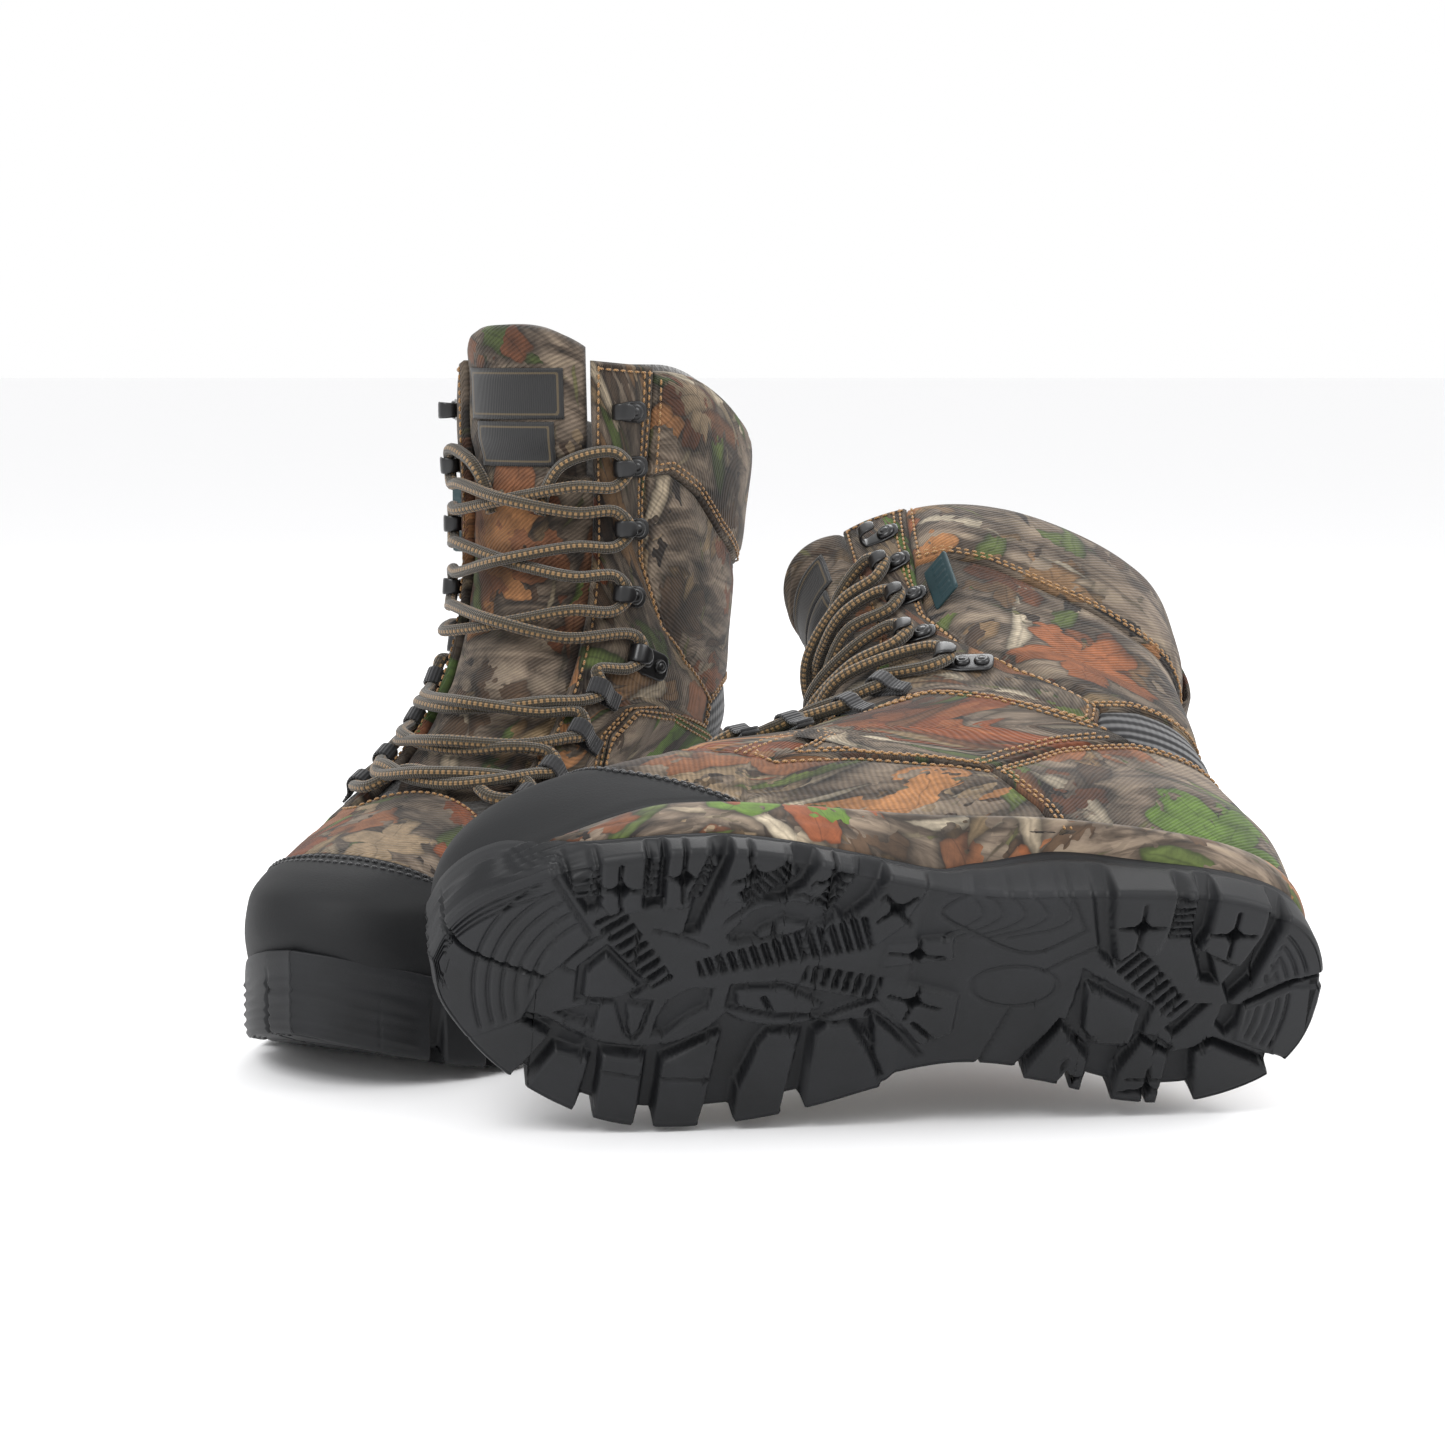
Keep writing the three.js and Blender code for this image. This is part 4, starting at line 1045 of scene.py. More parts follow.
@dataclass
class Panel:
    """One sewn panel: a patch with a rolled edge, a slight crown and stitches sunk along its seams."""

    name: str
    patch: Patch
    lift: float = 0.0  # stands this far over its neighbours
    crown: float = 0.6
    depth: float = 2.0
    seams: tuple = ()  # (border, distance from it) pairs
    step: float = 2.2
    soft: float = 0.35  # unevenness of the cloth
    thread: str = "tan"
    top_round: float = 0.0
    crease: Callable | None = None

    def offsets(self, grid: Array, edge: Array, from_top: Array) -> Array:
        """How far each point stands off: lift and crown, less the rolled edge and the stitch grooves."""
        p = UPPER.point(grid[..., 0], grid[..., 1])
        off = self.lift + self.crown * (1 - np.exp(-edge / 9)) - 1.25 * (1 - ease(0, 1.5, edge)) ** 2
        off = off + self.soft * ripple(p, 46, 1.0 + len(self.name)) * ease(1, 9, edge)
        for inset in sorted({d for _, d in self.seams}):
            off = off - 0.4 * bell(edge - inset, 0.8)
        if self.top_round:
            r = self.top_round
            gap = np.clip((r - from_top) / r, 0, 1)
            off = off - (r - 0.4) * (1 - np.sqrt(1 - gap**2))
        return off if self.crease is None else off + self.crease(p) * ease(0, 8, edge)

    def surface(self) -> tuple:
        """The panel's outer and inner points, and their distance from its edge."""
        long, high = self.patch.size()
        grid = self.patch.at(shares(long, self.step)[:, None], shares(high, self.step)[None])
        p = UPPER.point(grid[..., 0], grid[..., 1])
        du = np.linalg.norm(np.diff(p, axis=0), axis=-1)
        dv = np.linalg.norm(np.diff(p, axis=1), axis=-1)
        u = np.concatenate([np.zeros((1, p.shape[1])), np.cumsum(du, 0)])
        v = np.concatenate([np.zeros((p.shape[0], 1)), np.cumsum(dv, 1)], 1)
        sides = self.patch.left is not None or self.closed()
        across = np.minimum(u, u[-1] - u) if sides else np.full(u.shape, 99.0)
        edge = np.minimum(across, np.minimum(v, v[:, -1:] - v))
        off = self.offsets(grid, edge, v[:, -1:] - v)
        outer = UPPER.offset(grid[..., 0], grid[..., 1], off)
        inner = UPPER.offset(grid[..., 0], grid[..., 1], np.minimum(off - 0.3, -self.depth))
        return outer, inner, edge

    def closed(self) -> bool:
        """Whether the two ends are real edges rather than points."""
        ends = UPPER.point(*self.patch.at(np.array([0.0, 0.0]), np.array([0.0, 1.0])).T)
        return float(np.linalg.norm(ends[0] - ends[1])) > 3

    @staticmethod
    def span(grid: Array) -> Array:
        """Length in millimetres of each column of a grid of angles and heights."""
        p = UPPER.point(grid[..., 0], grid[..., 1])
        return np.maximum(np.linalg.norm(np.diff(p, axis=0), axis=-1).sum(0), 1e-6)

    def rows(self) -> list:
        """Stitch rows as lists of places and normals, each a set distance in from a border."""
        made = []
        for border, inset in self.seams:
            t = np.linspace(0, 1, 500)
            if border in ("bottom", "top"):
                share = inset / self.span(self.patch.at(t[None], np.linspace(0, 1, 30)[:, None]))
                keep = share < 0.42
                v = share if border == "bottom" else 1 - share
                line = self.patch.at(t[keep], v[keep])
            else:
                share = inset / self.span(self.patch.at(np.linspace(0, 1, 60)[:, None], t[None]))
                u = share if border == "left" else 1 - share
                line = self.patch.at(u, t)
            d = lengths(UPPER.point(*line.T))
            if d[-1] < 12:
                continue
            at = np.arange(2.5, d[-1] - 2.5, 3.3)
            line = np.stack([np.interp(at, d, line[:, k]) for k in (0, 1)], 1)
            stand = self.lift + 0.25 + self.crown * 0.3
            made.append((UPPER.offset(*line.T, stand), UPPER.normal(*line.T)))
        return made


def stitches(mesh: Mesh, rows: list, long: float = 2.7, thick: float = 0.5) -> None:
    """Lays one rounded stitch at each place of each row: an ellipsoid, pinched to points at both ends.

    Args:
        mesh: where they go.
        rows: (places, normals) pairs.
        long: a stitch's length.
        thick: its radius.
    """
    a = np.linspace(-1, 1, 6)[:, None]
    t = np.linspace(0, 2 * np.pi, 7)[None]
    r = np.sqrt(np.clip(1 - a**4, 0, 1)) * thick
    shape = merge(a * long / 2, r * np.cos(t), r * np.sin(t) - 0.15 * a * a).reshape(-1, 3)
    flat = merge(a * long / 2, t * thick).reshape(-1, 2)
    for places, normals in rows:
        ahead = unit(np.gradient(places, axis=0))
        side = unit(np.cross(normals, ahead))
        mesh.stamp(shape, quads(6, 7), flat, places, np.stack([ahead, side, np.cross(ahead, side)], 1))


@dataclass
class Assembly:
    """One sub-assembly of a boot: where the boot is, and the materials of the pair."""

    place: Placement
    finishes: Finishes

    def fit(self, mesh: Mesh, name: str, finish: Any, slot: str, *nodes: str,
            body: str = "boot") -> bpy.types.Object:
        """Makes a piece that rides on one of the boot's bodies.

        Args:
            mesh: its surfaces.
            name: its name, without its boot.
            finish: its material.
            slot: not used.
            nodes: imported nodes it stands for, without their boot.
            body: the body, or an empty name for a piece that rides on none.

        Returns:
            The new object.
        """
        made = mesh.make(name, self.place, finish)
        if body:
            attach(made, self.place.body(body))
        if nodes:
            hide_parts(*(f"{node}_{self.place.name}" for node in nodes))
        return made


@dataclass
class Shell(Assembly):
    """The sewn upper: toe cap, vamp, flaps, heel cover, facings, flex panel, shaft and padded collar."""

    @staticmethod
    def creases(p: Array) -> Array:
        """Shallow folds across the vamp, where the toes bend."""
        return 0.35 * bell(p[..., 0] - 222, 16) * np.sin(p[..., 0] * 0.62 + p[..., 1] * 0.05)

    def panels(self) -> list:
        """The panels with their borders, in the order they are sewn."""
        trace, back, front = UPPER.trace, UPPER.over_back, UPPER.over_front
        a = UPPER.angle(np.array([208.9]), np.array([30.5]))[0]
        phi = np.linspace(-a, a, 200)
        toe = np.stack([phi, 30.5 - 12.5 * ease(236, 288, UPPER.point(phi, 30.5)[:, 0])], 1)
        low = trace((COUNTER_FRONT[0], *CAP_SIDE), -1)
        cap = front(CAP_TOP)
        low = np.vstack([low, cap[1:-1], (low * [-1, 1])[::-1]])
        side = trace(((116, 69), (130, 72), (163, 72), (196, 64), (200, 80), (203, 90)), -1)
        y = np.linspace(-29, 29, 41)
        mouth = np.stack([UPPER.angle_at(y, 100.5 - 7 * (y / 29) ** 2), 100.5 - 7 * (y / 29) ** 2], 1)
        high = np.vstack([side, mouth, (side * [-1, 1])[::-1]])
        heel = back(((98, 30.5), (40, 30.5), (-20, 30.5)))
        far = np.array([2 * np.pi, 0.0])  # a border on the inner side, reached round the heel
        made = [
            Panel("vamp", Patch(low, high, trace(COUNTER_FRONT, -1), trace(COUNTER_FRONT, 1)),
                  crease=self.creases,
                  crown=0.3, seams=(("top", 2.6),)),
            Panel("toe_cap", Patch(toe, cap, trace(CAP_SIDE, -1), trace(CAP_SIDE, 1)), lift=0.9, crown=0.5,
                  soft=0.15,
                  seams=(("top", 2.4), ("top", 5.0), ("left", 2.4), ("left", 5.0), ("right", 2.4),
                         ("right", 5.0)),
                  thread="black"),
            Panel("heel_cover", Patch(heel, back(COUNTER_TOP), trace(COUNTER_FRONT, -1),
                trace(COUNTER_FRONT, 1) - far),
                  lift=0.7, seams=(("left", 2.4), ("left", 4.8), ("right", 2.4), ("right", 4.8),
                                   ("top", 2.4), ("top", 4.8))),
            Panel("achilles_flex", Patch(back(((53, 104), (30, 107), (-20, 108))), back(FLEX_TOP),
                                         trace(FLEX_END, -1), trace(FLEX_END, 1) - far),
                  lift=-0.8, crown=2.2),
            Panel("shaft_panel", Patch(back(FLEX_TOP), back(COLLAR_SEAM), trace(FACING_BACK, -1),
                trace(FACING_BACK, 1) - far),
                  depth=3.8, lift=0.1, crown=1.3, soft=0.6, seams=(("bottom", 2.4), ("bottom", 4.8))),
        ]
        for key, s in (("outer", -1), ("inner", 1)):
            made.append(Panel("quarter_" + key, Patch(trace(FLAP_FOOT, s), trace(FLAP_TOP, s)), lift=1.3,
                              crown=1.0,
                              seams=(("top", 2.4), ("top", 4.9), ("bottom", 2.4), ("bottom", 4.9))))
            z = np.linspace(97, 270, 200)
            z = z[z < UPPER.collar(UPPER.angle_at(s * THROAT, z)) + 0.5]
            mouth = np.stack([UPPER.angle_at(s * THROAT, z), z], 1)
            rail = trace(((196.5, 64.8), *FLAP_TOP[1:6], *FACING_BACK[:-1], (115, 240), (112, 267.5)), s)
            made.append(Panel("facing_" + key, Patch(rail, mouth), depth=3.8, lift=0.2, crown=0.9, soft=0.5,
                              seams=(("top", 2.6), ("bottom", 2.6), ("bottom", 5.1), ("right", 3.0))))
        rim = np.linspace(-UPPER.angle(np.array([112.5]), np.array([266.0]))[0], 0, 2)[0]
        phi = np.linspace(rim, -2 * np.pi - rim, 300)
        edge = np.stack([phi, UPPER.collar(phi)], 1)
        up = ((116, 222), (115, 240), (112.5, 266))
        made.append(Panel("collar", Patch(back(COLLAR_SEAM), edge, trace(up, -1), trace(up, 1) - far),
                          depth=3.8, lift=0.5,
                          crown=4.2, soft=0.8, top_round=4.5,
                          seams=(("bottom", 2.4), ("bottom", 4.8), ("left", 2.6), ("right", 2.6))))
        return made

    def build(self) -> None:
        """Makes every panel, and one mesh of stitches for each thread."""
        threads = {"tan": Mesh(), "black": Mesh()}
        dress = {"toe_cap": (self.finishes.cap, "cap_rubber"),
                 "achilles_flex": (self.finishes.flex, "black_fabric")}
        for k, panel in enumerate(self.panels()):
            outer, inner, edge = panel.surface()
            flat = metric(outer) + np.array([173.0 * k + self.place.print_shift, 89.0 * k])
            mesh = Mesh()
            mesh.slab(outer, inner, flat, edge)
            finish, slot = dress.get(panel.name, (self.finishes.cloth, "camo_fabric"))
            made = self.fit(mesh, panel.name + "_cover", finish, slot, panel.name)
            stitches(threads[panel.thread], panel.rows())
        for key, mesh in threads.items():
            self.fit(mesh, f"{key}_stitching", getattr(self.finishes, key),
                     "lace_cord" if key == "tan" else "black_fabric")


@dataclass
class Interior(Assembly):
    """The insulated lining and the footbed, seen from above."""

    def lining(self) -> None:
        """A soft tube inside the upper, open at the throat, rounded over at its top edge."""
        t = np.linspace(0, 1, 46)
        base = np.concatenate([np.linspace(34, 100, 16), 100 + 170 * t[1:]])
        gap = np.where(base > 99, np.abs(UPPER.angle_at(37.5, base)), 0) * ease(98, 106, base)
        share = np.linspace(0, 1, 110)[:, None]
        phi = -gap[None] - (2 * np.pi - 2 * gap[None]) * share
        top = UPPER.collar(phi) - 1.2
        z = np.where(base[None] > 166, 166 + (base[None] - 166) * (top - 166) / 104, base[None])
        below = np.clip((6 - (top - z)) / 6, 0, 1)
        out = -5.0 - 1.5 * below**2
        back = -10.0 + 1.2 * below**2 + 0.5 * ripple(UPPER.point(phi, z), 38, 2.0)
        mesh = Mesh()
        mesh.slab(UPPER.offset(phi, z, out), UPPER.offset(phi, z, back))
        made = self.fit(mesh, "lining", self.finishes.lining, "lining", "bootie")

    def footbed(self) -> None:
        """A loose insole, cupped round the heel and raised at the arch."""
        u = np.linspace(0, 1, 120)
        outer, inner = Outline.halves(u, 20.0)
        t = np.linspace(0, 1, 40)[None, :, None]
        plan = outer[:, None] * (1 - t) + inner[:, None] * t
        side = np.abs(2 * t[..., 0] - 1)
        x = plan[..., 0]
        top = 37.2 + 3.2 * side**4 * (1 - ease(120, 220, x)) + 1.6 * ease(0.4, 1,
            t[..., 0]) * bell(x - 120, 40)
        dip = 1.4 * (1 - np.clip((np.minimum(u, 1 - u) * 40), 0, 1))[:, None] ** 2
        z = top - dip
        a = lifted(plan, z)
        low = np.full(x.shape, 34.2)
        b = lifted(plan, low)
        mesh = Mesh()
        mesh.slab(a, b)
        self.fit(mesh, "loose_insole", self.finishes.lining, "lining", "footbed")

    def stiffeners(self) -> None:
        """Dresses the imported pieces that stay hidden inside."""
        for node, finish in (("shank", self.finishes.steel), ("insole_board", self.finishes.board),
                             ("toe_puff", self.finishes.board), ("heel_stiffener", self.finishes.board)):
            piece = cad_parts[f"{node}_{self.place.name}"]
            piece.data.materials.clear()
            piece.data.materials.append(finish)

    def build(self) -> None:
        """Lining, footbed and stiffeners."""
        self.lining()
        self.footbed()
        self.stiffeners()


@dataclass
class Tongue(Assembly):
    """The padded tongue: one soft piece whose free top part stands further out, and its blank woven labels.
    """

    @staticmethod
    def half(z: Array, top: float) -> Array:
        """Half width at a height: wider up to the fold, then the free part's own."""
        return np.where(z > TONGUE_FOLD, top, np.minimum(36.5, 24 + (z - 101) * 1.2))

    @staticmethod
    def swell(y: Array, z: Array) -> Array:
        """How far the tongue's face stands off the upper's surface: fullest in the middle and at its top."""
        half = Tongue.half(z, 31.0)
        side = np.clip(np.abs(y) / half, 0, 1)
        full = 3.2 * np.sqrt(np.clip(1 - side**2, 0, 1))
        puckers = 0.9 * np.sin(z * 0.46 + 0.04 * y) * (1 - ease(205, 222, z)) * (1 - side)
        top = 3.6 * ease(262, 274, z) * (1 - side**2) + 2.2 * ease(228, 240, z)
        return -5.4 + full + puckers + top

    def pad(self) -> bpy.types.Object:
        """The padded piece. Its top edge is an arc, and its rim is rolled."""
        t = np.linspace(-1, 1, 56)[:, None]
        v = np.linspace(0, 1, 130)[None]
        top = TONGUE_TOP + 1.5 - 9.0 * np.abs(t) ** 2.6
        z = 100.5 + (top - 100.5) * v
        half = self.half(z, 31.2)
        y = t * half
        p = UPPER.face(y, z, 0.0)
        edge = np.minimum((1 - np.abs(t)) * half, np.minimum(z - 100.5, top - z) + 0 * t)
        roll = np.clip(1 - edge / 4.5, 0, 1)
        off = self.swell(y, z) + 0.4 * ripple(p, 24, 3.0) * (edge > 2) - 3.4 * (1 - np.sqrt(1 - roll**2))
        back = -10.2 + 1.6 * (1 - np.sqrt(1 - roll**2)) + 0 * z
        mesh = Mesh()
        flat = metric(p) + np.array([613.0 + self.place.print_shift, 207.0])
        mesh.slab(UPPER.face(y, z, off), UPPER.face(y, z, np.minimum(back, off - 0.4)), flat, edge)
        made = self.fit(mesh, "tongue_pad", self.finishes.cloth, "camo_fabric", "tongue", "tongue_top",
                        body="")
        ends = self.place.to_frame(np.stack([UPPER.face(0.0, k, -7.0) for k in (215.0, 229.0)]))
        self.place.body()
        self.place.body("tongue_top")
        tuple(ends[0])
        tuple(ends[1])
        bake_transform(made)
        return made

    def labels(self) -> None:
        """Two flat labels, one above the other, that lie on the tongue."""
        mesh = Mesh()
        for low, high, half in ((246.0, 267.0, 22.5), (226.5, 245.0, 18.5)):
            y = (np.linspace(-1, 1, 40) * half)[:, None]
            z = np.linspace(low, high, 24)[None]
            edge = np.minimum(half - np.abs(y), np.minimum(z - low, high - z) + 0 * y)
            lift = self.swell(y, z) + 0.95 - 0.35 * (1 - ease(0, 1.2, edge))
            mesh.slab(UPPER.face(y, z, lift), UPPER.face(y, z, lift - 0.9), None, edge)
        self.fit(mesh, "woven_labels", self.finishes.label, "black_fabric", "tongue_label",
                 body="tongue_top")

    def build(self) -> None:
        """Pad and labels."""
        self.pad()
        self.labels()


# ---------- lacing ----------
@dataclass(frozen=True)
class Guide:
    """A lace guide's own axes on the facing: s away from the throat, u up the boot, n out of it."""

    p: Array
    s: Array
    u: Array
    n: Array

    @classmethod
    def on(cls, side: int, y: float, z: float) -> "Guide":
        """The guide at a height, a distance y from the middle, on the outer (-1) or inner (1) side."""
        p = UPPER.face(side * y, z, 0.0)
        n = UPPER.normal(UPPER.angle_at(side * y, z), z)
        u = unit(UPPER.face(side * y, z + 3, 0.0) - UPPER.face(side * y, z - 3, 0.0))
        u = unit(u - n * (u @ n))
        s = np.cross(u, n) * -side
        return cls(p, s if s[1] * side > 0 else -s, u, n)

    def place(self, points: Array) -> Array:
        """Points given along s, u and n, in the boot's frame."""
        return self.p + np.asarray(points, float) @ np.stack([self.s, self.u, self.n])


def strap(mesh: Mesh, guide: Guide, path: Array, half: Any, thick: float, blunt: float = 0.45) -> None:
    """Adds a flat strip bent along a path in a guide's (s, n) plane; its section is a rounded bar.

    Args:
        mesh: where it goes.
        guide: its axes.
        path: its middle line as [s, n], sampled closely.
        half: half width along u, one value or one for each point.
        thick: thickness.
        blunt: power of the section's curve, lower for squarer edges.
    """
    ahead = unit(np.gradient(path, axis=0))
    out = np.stack([-ahead[:, 1], ahead[:, 0]], 1)
    a = np.linspace(0, 2 * np.pi, 17)
    wide = np.sign(np.cos(a)) * np.abs(np.cos(a)) ** blunt
    tall = np.sign(np.sin(a)) * np.abs(np.sin(a)) ** blunt * thick / 2
    half = np.broadcast_to(np.asarray(half, float), (len(path),))
    sn = path[:, None] + out[:, None] * tall[None, :, None]
    ring = np.stack([sn[..., 0], half[:, None] * wide[None], sn[..., 1]], -1)
    ends = [np.repeat(np.array([[[path[k, 0], 0.0, path[k, 1]]]]), 17, 1) for k in (0, -1)]
    ring = np.concatenate([ends[0], ring, ends[1]])
    d = lengths(path)
    flat = merge(np.concatenate([d[:1], d, d[-1:]])[:, None], (a * half.max() / 2)[None])
    mesh.grid(guide.place(ring), flat)


def stud(mesh: Mesh, guide: Guide, s: float, u: float, base: float, radius: float, tall: float) -> None:
    """Adds a rivet head: a domed lathe shape with a shallow ring pressed into its top."""
    r = np.array([0, 1.0, 1.0, 0.93, 0.75, 0.6, 0.5, 0.42, 0.25, 0.0]) * radius
    n = base + np.array([0, 0, 0.35, 0.62, 0.85, 0.9, 0.82, 0.9, 1.0, 1.02]) * tall
    a = np.linspace(0, 2 * np.pi, 25)[None]
    ring = merge(s + r[:, None] * np.cos(a), u + r[:, None] * np.sin(a), n[:, None])
    mesh.grid(guide.place(ring))


@dataclass
class Lacing(Assembly):
    """Speed hooks, webbing loops, lock hooks and the lace that runs through them."""

    def hook(self, mesh: Mesh, guide: Guide, reach: float = 14.0) -> None:
        """A speed hook: a riveted foot, a stem and a curl that holds the lace down."""
        path = rounded(np.array([[reach, 1.1], [3, 1.1], [-0.6, 1.7], [-1.6, 4.3], [-0.6, 7.3], [2, 8.3],
                                 [6.2, 7.7]]), 0.5)
        t = np.linspace(0, 1, len(path))
        half = np.interp(t, [0, 0.03, 0.1, 0.3, 0.5, 0.7, 0.9, 0.97, 1],
                         [1.8, 3.6, 4.6, 4.2, 2.9, 3.4, 3.6, 2.8, 1.4])
        strap(mesh, guide, path, half, 1.25)

    def hooks(self, key: str, side: int) -> None:
        """One row of speed hooks with their rivets and backing washers."""
        mesh = Mesh()
        for z in HOOKS:
            guide = Guide.on(side, HOOK_Y, z)
            self.hook(mesh, guide)
            stud(mesh, guide, 8.6, 0.0, 1.3, 3.9, 2.3)
        self.fit(mesh, f"speed_hooks_{key}", self.finishes.enamel, "black_metal", f"hooks_{key}")

    def loops(self, key: str, side: int) -> None:
        """Webbing loops folded round the lace, with their ends sewn down under a bar of stitches."""
        mesh, bars = Mesh(), Mesh()
        for z in LOOPS:
            guide = Guide.on(side, LOOP_Y, z)
            ring = rounded(np.array([[13.5, 0.7], [8.5, 0.9], [2, 0.8], [-1.7, 2.6], [-2.0, 5.6],
                [0.8, 8.1], [4.6, 7.4], [8.4, 3.6], [13.5, 1.9]]), 0.6)
            strap(mesh, guide, ring, 3.6, 1.1, 0.3)
            u = np.linspace(-2.6, 2.6, 3)
            line = guide.place(np.stack([0 * u + 10.6, u, 0 * u + 3.0], 1))
            bars_row = (line, np.repeat(guide.n[None], 3, 0))
            stitches(bars, [bars_row], 2.4, 0.45)
        self.fit(mesh, f"webbing_loops_{key}", self.finishes.webbing, "black_fabric", f"loops_{key}")
        self.fit(bars, f"loop_tacks_{key}", self.finishes.black, "black_fabric")

    def lock(self, key: str, side: int) -> None:
        """The lock hook: a longer foot with two rivets and a narrow throat."""
        mesh = Mesh()
        guide = Guide.on(side, LOCK_Y, LOCK)
        path = rounded(np.array([[20.5, 1.1], [10, 1.1], [2, 1.1], [-0.8, 1.9], [-1.7, 4.3], [-0.8, 7.2],
                                 [2.4, 8.2], [6.8, 7.4]]), 0.5)
        t = np.linspace(0, 1, len(path))
        half = np.interp(t, [0, 0.03, 0.08, 0.35, 0.5, 0.6, 0.85, 0.96, 1],
                         [3, 5.2, 6.0, 6.2, 4.6, 3.6, 4.2, 3.2, 1.2])
        strap(mesh, guide, path, half, 1.4)
        stud(mesh, guide, 8.6, 0.0, 1.4, 3.1, 2.0)
        stud(mesh, guide, 16.0, 0.0, 1.4, 3.1, 2.0)
        self.fit(mesh, f"lock_stamping_{key}", self.finishes.enamel, "black_metal", f"lock_hook_{key}")

    @staticmethod
    def strand(start: int) -> list:
        """Points of one strand, from the lowest loop on a side up to its tucked end."""
        levels = [*LOOPS, LOCK, *HOOKS[:3]]
        points, side = [], start
        for k, z in enumerate(levels):
            y = LOCK_Y if z == LOCK else LOOP_Y if k < len(LOOPS) else HOOK_Y
            guide = Guide.on(side, y, z)
            points += [guide.place([s, u, 4.7]) for s, u in ((-1.6, -7), (4.2, 0), (-1.6, 7))]
            if k + 1 == len(levels) or levels[k + 1] == LOCK:
                continue
            over = (side > 0) == (k % 2 == 0)
            to = levels[k + 1]
            for t in (0.07, 0.5, 0.93) if over else (0.07, 0.35, 0.65, 0.93):
                off = 4 + 13 * t * (1 - t) if over else 2.6 + 20 * (t - 0.5) ** 2
                points.append(UPPER.face(side * 30 * (1 - 2 * t), z + 6 + (to - z - 12) * t, off))
            side = -side
        return points + [UPPER.face(side * y, z, off) for y, z,
                         off in ((22, 228, 1.4), (15, 218, -0.2), (12, 207, -1.0))]

    def lace(self) -> None:
        """One braided cord: a bar across the bottom and two strands that cross up the throat."""
        bar = [UPPER.face(y, 104, 3.4) for y in (-14, 0, 14)]
        foot = [UPPER.face(s * 28, 97, 3.6) for s in (-1, 1)]
        points = [*self.strand(-1)[::-1], foot[0], *bar, foot[1], *self.strand(1)]
        path = rounded(np.array(points), 1.1)
        mesh = Mesh()
        mesh.tube(path, LACE_RADIUS * 1.16, 12, 0.86, up=UPPER_UP)
        self.fit(mesh, "braided_lace", self.finishes.cord, "lace_cord", "lace")

    def build(self) -> None:
        """All guides, then the lace."""
        for key, side in (("outer", -1), ("inner", 1)):
            self.hooks(key, side)
            self.loops(key, side)
            self.lock(key, side)
        self.lace()


UPPER_UP = np.array([0.62, 0.05, 0.78])


# ---------- the sole ----------
class Outline:
    """The outsole's outline, as two halves from the middle of the heel to the tip of the toe."""

    OUTER = ((0, 10), (2.5, 20), (9, 31), (20, 39), (40, 45.5), (65, 47), (95, 46), (125, 45), (150, 48),
             (175, 53),
             (200, 57.5), (225, 59), (250, 55), (272, 46.5), (290, 34.5), (303, 22), (311, 9), (315, -4))
    INNER = ((0, 10), (2.5, 20), (9, 31), (20, 39.5), (40, 47), (65, 47), (95, 39), (125, 36), (150, 42),
             (175, 52),
             (200, 59.5), (225, 63), (250, 62), (272, 55), (290, 45), (303, 33), (311, 22), (315, 8))
    RIM = {
        -1: Profile(((0, 22), (40, 19), (65, 21), (99, 27), (130, 19), (145, 12.6), (165, 13), (200, 12.6),
                     (240, 12.6),
                     (262, 14), (280, 20), (293, 31), (315, 37))),
        1: Profile(((0, 22), (40, 19), (65, 21), (99, 27), (130, 19), (145, 14), (165, 14), (200, 16),
                    (225, 22),
                    (248, 29), (262, 32), (280, 34), (297, 36), (315, 37))),
    }

    @classmethod
    def halves(cls, u: Array, inset: float = 0.0) -> tuple:
        """Plan points of the outer and inner halves at shares u of their lengths, pulled in by inset.

        The points go round the heel and the toe in smooth arcs (Catmull-Rom through the table).
        """
        made = []
        for table, sign in ((cls.OUTER, -1), (cls.INNER, 1)):
            p = np.array(table) * [1, sign]
            line = rounded(np.vstack([[-0.6, 0], p, [315.6, 6.0]]), 0.5)
            at = 0.5 - 0.5 * np.cos(np.pi * u)
            at = 0.35 * at + 0.65 * u
            q = resample(line, at)
            ahead = unit(np.gradient(line, axis=0))
            ahead = unit(resample(ahead, at))
            out = np.stack([ahead[:, 1], -ahead[:, 0]], 1) * -sign
            pull = np.minimum(inset, 0.42 * np.abs(q[:, 1] - 3 * (q[:, 0] / 315) ** 2) + 0.6 * inset)
            made.append(q - out * pull[:, None])
        return made[0], made[1]

    @classmethod
    def normals(cls, u: Array) -> tuple:
        """Outward plan directions of the two halves at shares u."""
        made = []
        for half, sign in zip(cls.halves(u), (-1, 1)):
            ahead = unit(np.gradient(half, axis=0))
            made.append(np.stack([ahead[:, 1], -ahead[:, 0]], 1) * -sign)
        return made[0], made[1]


